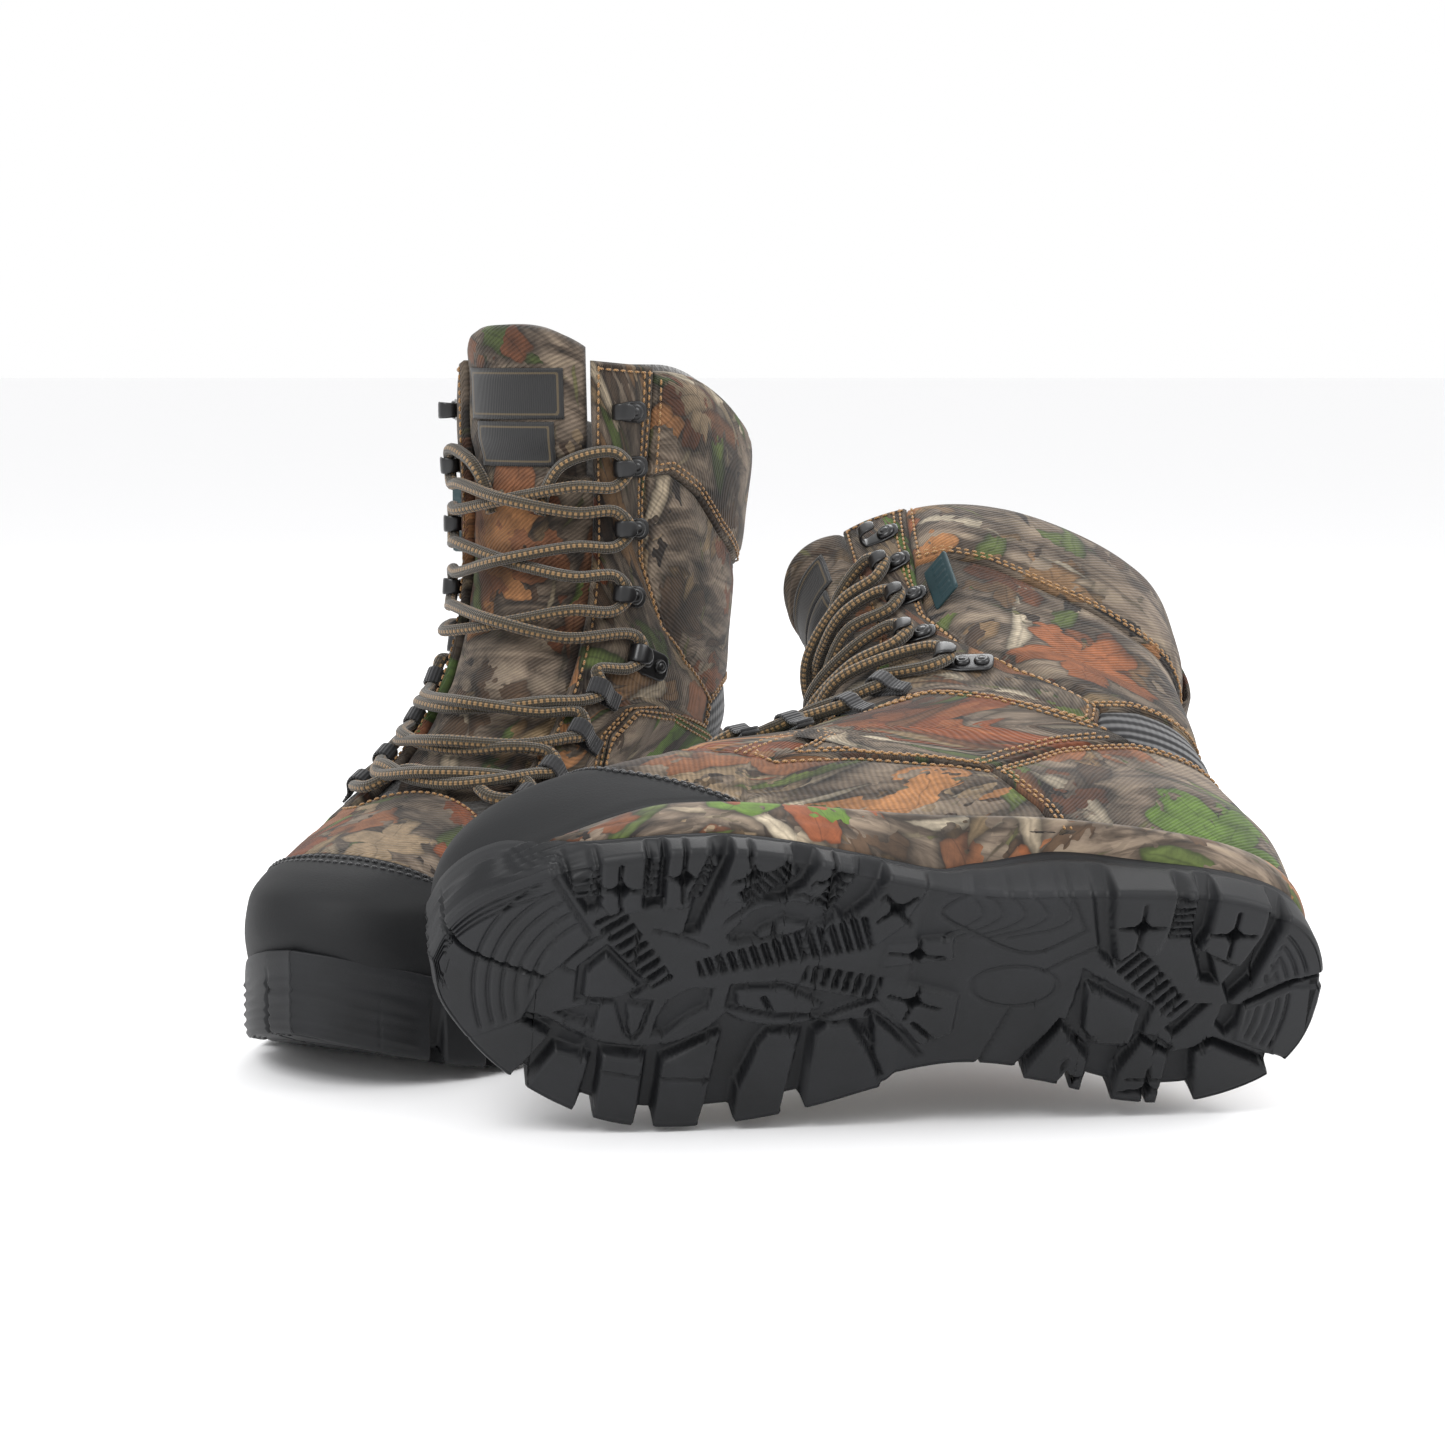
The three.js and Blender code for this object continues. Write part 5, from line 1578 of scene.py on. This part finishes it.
class Tread:
    """Depth of the tread's face below the ground plane at each point of the plan, in millimetres.

    Zero is where a lug touches the ground. Shapes are applied in order, each through a soft step over
    its signed distance.
    """

    BASE = (
        (1.5, 5, ((150, -70), (320, -70), (320, 70), (150, 70))),
        (1.3, 4, ((-9, -60), (90, -60), (84, -16), (97, 10), (107, 60), (-9, 60))),
        (6.2, 1.6, ((160, 12), (180, 15), (195, 18), (207, 16), (212, 13), (218, 20), (228, 26), (240, 29),
                    (252, 29),
                    (264, 26), (272, 22), (283, 22), (283, 80), (150, 80), (156, 40))),
        (6.2, 1.4, ((-9, 24), (18, 24), (36, 17), (42, 22), (50, 24), (62, 17), (68, 24), (80, 22),
                    (93, 10), (106, 36),
                    (108, 80), (-9, 80))),
        (6.2, 1.4, ((163, -80), (163, -52), (168, -38), (176, -29), (181, -34), (174, -50), (171, -80))),
        (6.2, 1.4, ((187, -80), (188, -56), (192, -44), (199, -37), (206, -37), (198, -50), (196, -80))),
        (6.2, 1.4, ((216, -80), (217, -58), (221, -44), (226, -23), (231, -22), (229, -36), (226, -50),
                    (226, -80))),
        (6.2, 1.4, ((239, -80), (240, -56), (239, -34), (246, -32), (247, -50), (246, -80))),
        (5.6, 2.0, ((261, -80), (262, -45), (260, -30), (264, -27), (274, -41), (280, -80))),
        (6.4, 1.4, ((17, -80), (20, -36), (27, -8), (33, 1), (37, -7), (31, -20), (27, -34), (26, -80))),
        (6.4, 1.4, ((47, -80), (47, -42), (46, -24), (39, -7), (45, -8), (52, -25), (54, -42), (54, -80))),
        (5.0, 2.0, ((88, -80), (83, -36), (77, -13), (84, -18), (91, -45), (94, -80))),
    )
    LUGS = (
        (0, 1.3, ((145, -80), (150, -44), (156, -29), (165, -20), (168, -30), (164, -45), (162.5, -80))),
        (0, 1.3, ((171.5, -80), (174, -50), (181, -35), (186, -37), (193, -38), (189, -46), (187, -56),
                  (186.5, -80))),
        (0, 1.3, ((196.5, -80), (198, -50), (206, -40), (212, -37), (220, -37), (219, -50), (215.5, -80))),
        (0, 1.3, ((226.5, -80), (226.5, -50), (231, -34), (238.5, -33), (239.5, -50), (238.5, -80))),
        (0, 1.3, ((246.5, -80), (247, -50), (246, -32), (256, -27), (260, -32), (261, -47), (260.5, -80))),
        (0.5, 1.2, ((137, -24), (160, -21), (161, -11), (136, -15))),
        (0.5, 1.2, ((131, 2), (160, -6), (161, 2), (142, 23), (131, 17))),
        (0, 1.6, ((160, 22), (168, 14), (176, 15), (180, 19), (180.5, 48), (176, 80), (152, 80),
                  (154, 36))),
        (0, 1.6, ((185, 20), (196, 20), (199, 25), (204.5, 45), (205, 80), (189, 80), (187, 45))),
        (0, 1.6, ((213, 21), (232.5, 33), (233, 58), (231, 80), (219, 80), (215, 50))),
        (0, 1.6, ((238.5, 32), (253.5, 32), (253.5, 45), (254, 58), (252, 80), (241, 80), (238.5, 55))),
        (0, 1.6, ((257.5, 35), (269.5, 32), (278, 50), (276, 80), (263, 80), (259, 48))),
        (0, 1.3, ((272, 27), (282, 22.5), (300, 36), (325, 15), (325, 80), (285, 80), (283, 47))),
        (0, 1.3, ((262, -18), (276, -40), (284, -80), (330, -80), (330, 24), (300, 36), (282, 22),
                  (276, 2), (268, -8))),
        (0, 1.3, ((28, -80), (27, -30), (33, -15), (49, -22), (46.5, -30), (46.5, -80))),
        (0, 1.3, ((61, -80), (61, -31), (64, -20), (76, -13), (81.5, -30), (87, -80))),
        (0.2, 1.2, ((-20, -14), (-20, -80), (16.5, -80), (19, -38), (27, -5), (12, -11))),
        (0.2, 1.2, ((-20, -9), (12, -7), (28, 3), (28, 17), (18, 21), (10, 24.5), (-20, 34))),
        (0, 1.6, ((16, 28), (35, 20), (41.5, 24), (38, 44), (36.5, 80), (-20, 80), (-20, 36), (9, 33))),
        (0, 1.6, ((50.5, 25), (62, 19), (68, 34), (68.5, 80), (51.5, 80), (50.5, 44))),
        (0, 1.6, ((79.5, 28), (92, 13), (103, 36), (98, 80), (80.5, 80), (79.5, 44))),
    )
    CUTS = (
        (4.6, 1.0, ((218, 1), (226, 1), (233, 7), (236, 14), (237, 22), (233, 22), (226, 15), (219, 10))),
        (3.8, 0.9, ((238, 7), (250, 7), (251, 10), (247, 22), (243, 26), (240, 20))),
        (1.6, 0.9, ((240, 10), (247, 9), (244.5, 24), (242, 21))),
        (4.0, 1.0, ((240, 1), (256, -15), (265, -4), (265, 11), (249, 9))),
        (0.3, 1.0, ((244, 1), (256, -11), (262, -3), (262, 8), (250, 6))),
        (4.6, 0.9, ((256, 11), (261, 12), (271, 17), (266, 19), (257, 22))),
        (0.8, 0.9, ((258, 20.5), (268, 19.5), (268, 24), (262, 26), (257, 25))),
        (4.4, 1.2, ((163, 4), (180, 1), (195, -3), (212, -1), (213, 9), (195, 13), (178, 12))),
        (1.2, 1.2, ((179, 7), (193, 0), (210, 1), (208.5, 8), (196, 10.5), (183, 10.5))),
        (4.6, 1.2, ((181, -35), (195, -37), (208, -33), (216, -22), (214, -19), (205, -20), (190, -24),
                    (180, -29))),
        (1.8, 1.0, ((187, -27), (198, -29), (205, -24), (206, -21), (195, -23))),
        (5.4, 1.0, ((28, 2), (35, 2), (36, 11), (31, 16), (28, 10))),
        (5.2, 1.0, ((40, 2), (45, 2), (54, 13), (50, 17))),
        (4.6, 1.2, ((60, 4), (88, -11), (91, 14), (82, 23), (66, 25), (62, 18))),
        (0, 1.2, ((65, 6), (86, -5), (84, 14), (79, 20), (66, 20))),
    )
    RIBS = (  # start, end, half width at each, count
        ((167, -25), (224, -7.5), 7.0, 3.6, 15), ((257, -27), (236, -1), 5.6, 4.2, 8),
        ((160, -1), (187, -7), 4.8, 3.4, 7),
        ((175, -54), (186, -34), 3.6, 3.6, 7), ((197, -51), (212, -38), 4.0, 4.0, 7),
        ((223.5, -56), (229.5, -37), 2.6, 2.6, 7),
        ((244, -55), (243.5, -36), 2.2, 2.2, 7), ((268, -47), (264, -33), 5.0, 4.5, 6),
        ((57, -47), (57, -27), 4.0, 4.4, 7),
        ((75, -18), (51, 5), 6.0, 4.4, 8),
    )
    LINES = (  # width, depth, points
        (1.5, 5.0, ((161, 4), (170, 9), (180, 14), (195, 17), (207, 15), (212, 12))),
        (1.5, 5.0, ((212, 12), (218, 19), (228, 25), (240, 28), (252, 28), (264, 25), (272, 21),
                    (280, 20))),
        (0.9, 3.4, ((172, -32), (180, -38), (195, -40), (208, -36), (217, -28))),
        (0.9, 3.0, ((222, -17), (232, -21), (241, -23))),
        (0.9, 3.0, ((256, -20), (264, -13), (270, -3), (262, -1))),
        (1.2, 4.0, ((276, 2), (304, -3), (313, -14))),
        (0.9, 2.2, ((262, -18), (276, -39))),
        (1.3, 4.6, ((200, -28), (200, -22))), (1.3, 4.6, ((200, 4), (196, 11))),
        (0.9, 2.0, ((216, 40), (232, 40))), (0.9, 2.0, ((239, 40), (252, 39))),
        (2.6, 5.0, ((141, 29), (152, 17), (162, 9))), (1.3, 4.4, ((154, 37), (160, 25), (168, 13))),
        (1.1, 4.2, ((136, 22), (146, 13))),
        (0.9, 4.3, ((85, -20), (95, -14), (102, -9))), (1.0, 4.4, ((111, 7), (114, 17), (119, 33))),
        (1.5, 5.2, ((0, -14), (12, -9), (27, 1))), (1.0, 3.0,
            ((50, 22), (60, 17), (66, 24), (74, 27), (82, 21))),
        (0.9, 2.6, ((50, 36), (64, 36))), (0.9, 2.6, ((50, 42), (66, 42))),
        (0.9, 2.8, ((33, -15), (50, -22))),
        (0.9, 4.3, ((90, -27), (97, -40), (104, -49), (113, -51), (128, -44), (139, -38), (142.5, -33),
                    (130, -25),
                    (108, -17), (90, -27))),
        *((0.7, 3.9, ((a + 14, b - 1), (a + 5, -40), (a, -33), (a + 4, -28.5), (a + 22 - k * 2.4, -23)))
          for k, (a, b) in enumerate(((96, -49), (105, -47.5), (113, -44), (121, -41.5), (128, -39.5)))),
    )
    STARS = ((254, -39, 0.1), (233.5, -46, 0.05), (209.5, -48, 0.35), (182, -47.5, 0.25), (159, -36, 0.7),
             (149, -16.5, 1.5),
             (147, 4, 1.3), (38, -29, 0.0), (71.5, -31, 0.05), (56, 41, 0.05), (86, 37, 0.3))

    @staticmethod
    def segment(p: Array, a: Array, b: Array) -> Array:
        """Distance from points to the straight segment from a to b."""
        e, w = b - a, p - a
        t = np.clip((w @ e) / (e @ e), 0, 1)
        return np.linalg.norm(w - t[:, None] * e, axis=1)

    @staticmethod
    def region(p: Array, corners: tuple) -> Array:
        """Signed distance into a polygon, positive inside."""
        a = np.array(corners, float)
        b = np.roll(a, -1, 0)
        far = np.full(len(p), 1e9)
        odd = np.zeros(len(p), bool)
        for k in range(len(a)):
            far = np.minimum(far, Tread.segment(p, a[k], b[k]))
            spans = (a[k, 1] > p[:, 1]) != (b[k, 1] > p[:, 1])
            cross = (b[k, 0] - a[k, 0]) * (p[:, 1] - a[k, 1]) / (b[k, 1] - a[k, 1] + 1e-12) + a[k, 0]
            odd ^= spans & (p[:, 0] < cross)
        return np.where(odd, far, -far)

    @staticmethod
    def line(p: Array, points: tuple) -> Array:
        """Distance to a line through points."""
        a = rounded(np.array(points, float), 2.0) if len(points) > 2 else np.array(points, float)
        far = np.full(len(p), 1e9)
        for k in range(len(a) - 1):
            far = np.minimum(far, Tread.segment(p, a[k], a[k + 1]))
        return far

    @classmethod
    def depth(cls, p: Array, edge: Array) -> Array:
        """Depth at plan points.

        Args:
            p: plan points, (n, 2).
            edge: distance in from the outline.

        Returns:
            Depths, (n,).
        """
        d = np.full(len(p), 3.2)
        for level, soft, corners in cls.BASE + cls.LUGS + cls.CUTS:
            near = ease(-soft / 2, soft / 2, cls.region(p, corners))
            d = d * (1 - near) + level * near
        chamfer = ease(34, 24, p[:, 1]) * (p[:, 0] > 180) * (p[:, 0] < 270)
        d = d + 1.6 * chamfer * (p[:, 1] > 14) * (d < 1)
        for a, b, wa, wb, count in cls.RIBS:
            a, b = np.array(a, float), np.array(b, float)
            long = np.linalg.norm(b - a)
            e = (b - a) / long
            t = (p - a) @ e / long
            side = (p - a) @ np.array([-e[1], e[0]])
            half = wa + (wb - wa) * np.clip(t, 0, 1)
            inside = ease(-0.6, 0.6, half - np.abs(side)) * ease(-0.6, 0.6, np.minimum(t, 1 - t) * long)
            rib = 0.5 - 0.5 * np.cos(2 * np.pi * (t * count + 0.12 * side / half))
            level = 4.8 - 3.4 * ease(0.2, 0.85, rib)
            d = d * (1 - inside) + level * inside
        pad = ease(0.5, 2.5, cls.region(p, ((262, -19), (276, -39), (290, -35), (304, -20), (313, 0),
            (311, 20), (298, 34), (282, 22), (276, 2))))
        ring = np.linalg.norm(p - [238, 8], axis=1)
        for r in (42, 46.8, 51.6, 56.4, 61.2):
            d = d + 1.3 * pad * bell(ring - r, 0.75)
        outer_toe = ease(276, 284, p[:, 0]) * ease(18, 10, p[:, 1])
        for r in (2.6, 5.2, 7.8):
            d = d + 1.5 * outer_toe * bell(edge - r, 0.7)
        for centre, radii, area in (
            ((46, 0), (26, 29.6, 33.2, 36.8, 40.4), ((2, -15), (6, -30), (18, -36), (26, -6), (12, -11))),
            ((64, 4), (38, 41.5, 45, 48.5, 52), ((4, -8), (12, -6), (27, 3), (27, 16), (18, 20), (10, 23))),
        ):
            inside = ease(0.3, 2.0, cls.region(p, area))
            ring = np.linalg.norm(p - centre, axis=1)
            for r in radii:
                d = d + 1.2 * inside * bell(ring - r, 0.65)
        for width, level, points in cls.LINES:
            near = ease(width / 2 + 0.5, width / 2 - 0.3, cls.line(p, points))
            d = np.maximum(d, d * (1 - near) + level * near)
        oval = np.sqrt(((p[:, 0] - 111.5) / 15.5) ** 2 + ((p[:, 1] + 2.3) / 8.7) ** 2)
        d = d + 1.1 * bell(oval - 1, 0.07)
        for x, y, turned in cls.STARS:
            q = (p - [x, y]) @ np.array([[np.cos(turned), -np.sin(turned)],
                [np.sin(turned), np.cos(turned)]])
            a, b = np.abs(q).T
            hole = ease(0.5, -0.5, np.minimum(np.sqrt(a) + np.sqrt(b) - 2.35, np.hypot(a, b) - 2.3))
            sipe = np.maximum(ease(0.85, 0.35, a) * ease(10.5, 9.5, b),
                              ease(0.85, 0.35, b) * ease(8.5, 7.5, a))
            d = np.maximum(d, np.maximum(6.4 * hole, 3.2 * sipe))
        return d + 1.0 * np.clip(1 - edge / 1.8, 0, 1) ** 2


@dataclass
class Sole(Assembly):
    """The outsole and the printed midsole band above it."""

    rows: int = 510
    columns: int = 138
    wall: int = 24

    def wall_points(self, edge: Array, out: Array, deep: Array, sign: int) -> Array:
        """Points up the side wall, from the tread's edge to the rim.

        The wall leans in slightly, follows the gaps between lugs with a recess that fades upwards, and
        carries fine ridges round the outer toe.

        Args:
            edge: the outline's plan points, (rows, 2).
            out: outward plan directions.
            deep: the tread's depth at the edge.
            sign: -1 on the outer side.

        Returns:
            Points, (rows, wall, 3).
        """
        h = (0.5 - 0.5 * np.cos(np.pi * np.linspace(0, 1, self.wall)))[None]
        rim = Outline.RIM[sign](edge[:, 0])[:, None]
        deep = deep[:, None]
        low = np.minimum(deep, 6.2)
        z = low + (rim - low) * h
        lean = -0.5 - 1.5 * h**2 - (0.7 * low + 0.2) * ease(0.8, 0.05,
            h) - 1.3 * np.clip(1 - (z - low) / 2.2, 0, 1) ** 2
        toe = ease(262, 285, edge[:, :1]) if sign < 0 else ease(287, 291, edge[:, :1])
        lean = lean + toe * 0.8 * np.sin(z * 2 * np.pi / 4.2) * ease(1, 4, z) * ease(25, 21, z)
        lean = lean + 0.9 * ease(255, 280, edge[:, :1]) * ease(0.72, 0.8, h)
        lean = lean - 0.5 * bell(h - 0.82, 0.05)
        plan = edge[:, None] + out[:, None] * lean[..., None]
        return lifted(plan, z)

    def outsole(self) -> None:
        """A closed loop of points round each cross-section: tread, walls, rim and the tray inside."""
        u = np.linspace(0, 1, self.rows)
        (a, b), (na, nb) = Outline.halves(u), Outline.normals(u)
        edge0 = np.full(len(u), 3.5)
        da, db = Tread.depth(a - na * 3.5, edge0), Tread.depth(b - nb * 3.5, edge0)
        wa, wb = self.wall_points(a, na, da, -1), self.wall_points(b, nb, db, 1)
        t = np.linspace(0, 1, self.columns)[None, :, None]
        plan = wa[:, 0, None, :2] * (1 - t) + wb[:, 0, None, :2] * t
        wide = np.linalg.norm(wb[:, 0, :2] - wa[:, 0, :2], axis=1)[:, None]
        ends = np.minimum(u, 1 - u)[:, None] * 400
        edge = np.minimum(np.minimum(t[..., 0], 1 - t[..., 0]) * wide, ends + 0 * wide)
        d = Tread.depth(plan.reshape(-1, 2), edge.ravel()).reshape(edge.shape)
        d[:, 0], d[:, -1] = wa[:, 0, 2] - UPPER.spring(wa[:, 0, 0], 0), wb[:, 0,
            2] - UPPER.spring(wb[:, 0, 0], 0)
        floor = lifted(plan, d)
        loop = [floor, wb[:, 1:]]
        for q, n, wall in ((b, nb, wb), (a, na, wa)):
            top = wall[:, -1]
            ring = []
            for inset, drop in ((0.9, -0.35), (2.5, 0.0), (2.9, 1.2)):
                ring.append(np.concatenate([top[:, :2] - n * inset, top[:, 2:] - drop], 1))
            deep = np.minimum(12.4 + UPPER.spring(q[:, 0], 12.4), top[:, 2] - 1.5)
            ring.append(np.concatenate([top[:, :2] - n * 7.0, deep[:, None]], 1))
            ring = np.stack(ring, 1)
            loop.append(ring if q is b else ring[:, ::-1])
        loop.append(wa[:, :0:-1])
        p = np.concatenate(loop + [floor[:, :1]], 1)
        mesh = Mesh()
        mesh.grid(p)
        self.fit(mesh, "tread_and_wall", self.finishes.rubber, "rubber", "outsole")

    def midsole(self) -> None:
        """The printed band: out of the tray, up beside the upper and over in a rounded lip."""
        u = np.linspace(0, 1, 260)
        (a, b), (na, nb) = Outline.halves(u), Outline.normals(u)
        sides = []
        for q, n, s in ((a, na, -1), (b, nb, 1)):
            x = 4.5 + (q[:, 0] + 0.6) * (302 / 316.2)
            z = np.full(len(x), 31.5)
            sink = 11.5 * ease(238, 290, q[:, 0])
            phi = s * UPPER.angle(x, z)
            phi[0], phi[-1] = s * np.pi, 0.0
            arch = 4.0 * bell(q[:, 0] - 112, 34) if s < 0 else 4.0 * bell(q[:, 0] - 118, 40)
            rim = Outline.RIM[s](q[:, 0])
            base = np.minimum(rim, 29.0 - sink)
            hidden = ease(0.2, 3.0, rim - base)  # 1 where the bumper covers the band
            lip = UPPER.offset(phi, z, 2.4 - 3.6 * hidden)
            tuck = UPPER.offset(phi, z + 2.6 + arch, 0.9 - 2.4 * hidden)
            inside = UPPER.offset(phi, z + 1.8 + arch, -1.9)
            for ring in (lip, tuck, inside):
                ring[:, 2] -= sink
            rows = []
            for inset, high in ((8.5, 13.0), (4.4, None), (1.5, None)):
                z = np.full(len(x), high) if high else base - (0.9 if inset > 2 else -0.5)
                z = np.minimum(z, base + 0.5)
                inset = inset + (5.0 * hidden[:, None] if inset < 5 else 0.0)
                rows.append(np.concatenate([q - n * inset, (z + UPPER.spring(q[:, 0], z))[:, None]], 1))
            start = rows[-1]
            for k in np.linspace(0.12, 1, 12):
                bulge = 1.1 * np.sin(np.pi * k) * (1 - hidden[:, None])
                blend = start * (1 - k) + lip * k
                blend[:, :2] += n * bulge
                blend[:, 2] = start[:, 2] + (lip[:, 2] + arch - start[:, 2]) * k
                groove = 0.5 * bell(k - 0.55, 0.05)
                blend[:, :2] -= n * groove
                rows.append(blend)
            mid = (lip + tuck) / 2
            mid[:, 2] = lip[:, 2] + arch + 1.9
            mid[:, :2] += n * 0.4
            rows += [mid, tuck, inside]
            rows.append(np.concatenate([q - n * 12.0, (29.6 - sink + UPPER.spring(q[:, 0], 29.6))[:,
                None]], 1))
            sides.append(np.stack(rows, 1))
        p = np.concatenate([sides[0], sides[1][:, ::-1], sides[0][:, :1]], 1)
        mesh = Mesh()
        flat = metric(p) + np.array([911.0 + self.place.print_shift, 37.0])
        mesh.grid(p, flat)
        self.fit(mesh, "printed_midsole", self.finishes.foam, "camo_foam", "midsole")

    def build(self) -> None:
        """Outsole, then midsole."""
        self.outsole()
        self.midsole()


# ---------- trim ----------
@dataclass
class Trim(Assembly):
    """The pull loop at the back of the collar and the rubber tab in the outer facing's seam."""

    def pull_loop(self) -> None:
        """A folded strap: a flat band along a closed loop behind the heel, sewn down at its ends."""
        at = UPPER.back(PULL_Z)
        ring = np.array([[-0.4, 3], [-2.6, 1.2], [-6.2, 4], [-8.8, 14], [-9.4, 26], [-8.0, 38],
                         [-5.0, 45.5], [-2.2, 44.5], [-0.7, 36]])
        path = rounded(ring, 1.2)
        guide = Guide(np.array([float(at), 0.0, PULL_Z]), np.array([1.0, 0, 0]), np.array([0, 1.0, 0]),
                      np.array([0, 0, 1.0]))
        mesh = Mesh()
        strap(mesh, guide, path, 8.2, 1.7, 0.3)
        self.fit(mesh, "pull_strap", self.finishes.cloth, "camo_fabric", "pull_loop", body="pull_loop")

    def tab(self) -> None:
        """A small moulded flag with raised bars and a rounded free edge."""
        z = np.full(1, TAB_Z)
        phi = -UPPER.angle(np.array([113.0]), z)
        p, n = UPPER.point(phi, z)[0], UPPER.normal(phi, z)[0]
        behind = unit(np.array([-1.0, 0, 0]) + n * n[0])
        s = unit(behind * 0.75 + n * 0.66)
        u = np.array([0, 0, 1.0])
        guide = Guide(p, s, u, unit(np.cross(s, u)))
        a = np.linspace(0.4, 13.6, 40)[:, None]
        b = np.linspace(-14.0, 14.0, 70)[None]
        corner = np.clip(np.hypot(np.maximum(a - 11.4, 0), np.maximum(np.abs(b) - 11.8, 0)) - 2.2, 0, None)
        edge = np.minimum(13.6 - a, 14 - np.abs(b)) + 0 * a
        bars = 0.28 * ease(0.1, 0.6, np.sin(b * 1.45)) * ease(1.8, 2.6, edge) * (a > 5) * (a < 11)
        thick = 0.8 * np.sqrt(np.clip(1 - np.clip(1 - edge / 1.2, 0, 1) ** 2, 0.02, 1)) + bars
        shrink = np.clip(1 - corner * 0.08, 0.8, 1)
        out = merge(a * shrink, b * shrink, thick)
        back = merge(a * shrink, b * shrink, -thick)
        mesh = Mesh()
        mesh.slab(guide.place(out), guide.place(back))
        self.fit(mesh, "rubber_flag", self.finishes.teal, "teal_rubber", "side_tab", body="side_tab")

    def build(self) -> None:
        """Loop and tab."""
        self.pull_loop()
        self.tab()


# ---------- the studio ----------
@dataclass
class Studio:
    """A pale floor, soft lights and the camera."""

    floor: str = "#f9f9fa"

    def light(self, name: str, place: tuple, aim: tuple, size: float, power: float) -> None:
        """Adds one soft area light that points at a place."""
        lamp = bpy.data.lights.new(name, "AREA")
        lamp.size = size
        lamp.energy = power
        made = bpy.data.objects.new(name, lamp)
        made.location = place
        made.rotation_euler = (Vector(aim) - Vector(place)).to_track_quat("-Z", "Y").to_euler()
        bpy.context.scene.collection.objects.link(made)

    def build(self) -> None:
        """Floor, world, lights and camera."""
        half = 30.0
        data = bpy.data.meshes.new("studio_floor")
        low = float(CAD_BOX[0][2]) - 0.0004
        data.from_pydata([(-half, -half, low), (half, -half, low), (half, half, low), (-half, half, low)],
                         [], [(0, 1, 2, 3)])
        made = bpy.data.materials.new("pale_painted_floor")
        made.use_nodes = True
        tree = made.node_tree
        shader = tree.nodes["Principled BSDF"]
        shader.inputs["Roughness"].default_value = 0.9
        add(tree, "TexCoord")
        grain = add(tree, "TexNoise", {"Vector": tree.nodes[-1].outputs["Object"], "Scale": 6.0})
        colour = add(tree, "Mix", {"Factor": ("MULTIPLY", grain, 0.1), "A": self.floor, "B": "#ffffff"})
        tree.links.new(colour, shader.inputs["Base Color"])
        data.materials.append(made)
        floor = bpy.data.objects.new("studio_floor", data)
        bpy.context.scene.collection.objects.link(floor)
        world = bpy.data.worlds.new("soft_white")
        bpy.context.scene.world = world
        world.use_nodes = True
        world.node_tree.nodes["Background"].inputs[0].default_value = linear("#ffffff")
        world.node_tree.nodes["Background"].inputs[1].default_value = 1.0
        self.light("key_light", (-0.9, -1.3, 1.7), (0, 0, 0.1), 1.0, 26)
        self.light("side_light", (1.5, -0.5, 1.3), (0, 0, 0.1), 1.0, 16)
        self.light("back_light", (0.2, 1.5, 1.6), (0, 0, 0.1), 1.2, 18)
        camera = bpy.data.cameras.new("view")
        camera.lens = LENS_MM
        camera.sensor_width = SENSOR_MM
        camera.clip_start = 0.01
        seat = bpy.data.objects.new("view", camera)
        seat.location = CAMERA_PLACE
        seat.rotation_euler = (np.deg2rad(90 - CAMERA_DIP), 0, 0)
        bpy.context.scene.collection.objects.link(seat)
        bpy.context.scene.camera = seat
        bpy.context.scene.view_settings.view_transform = "Standard"


def main() -> None:
    """Builds the studio and both boots."""
    logging.basicConfig(level=logging.INFO, format="%(name)s %(message)s")
    Studio().build()
    finishes = Finishes()
    for place in (RIGHT, LEFT):
        for part in (Sole, Shell, Interior, Tongue, Lacing, Trim):
            part(place, finishes).build()
            LOG.info("%s boot: %s done", place.name, part.__name__)


if __name__ == "__main__":
    main()
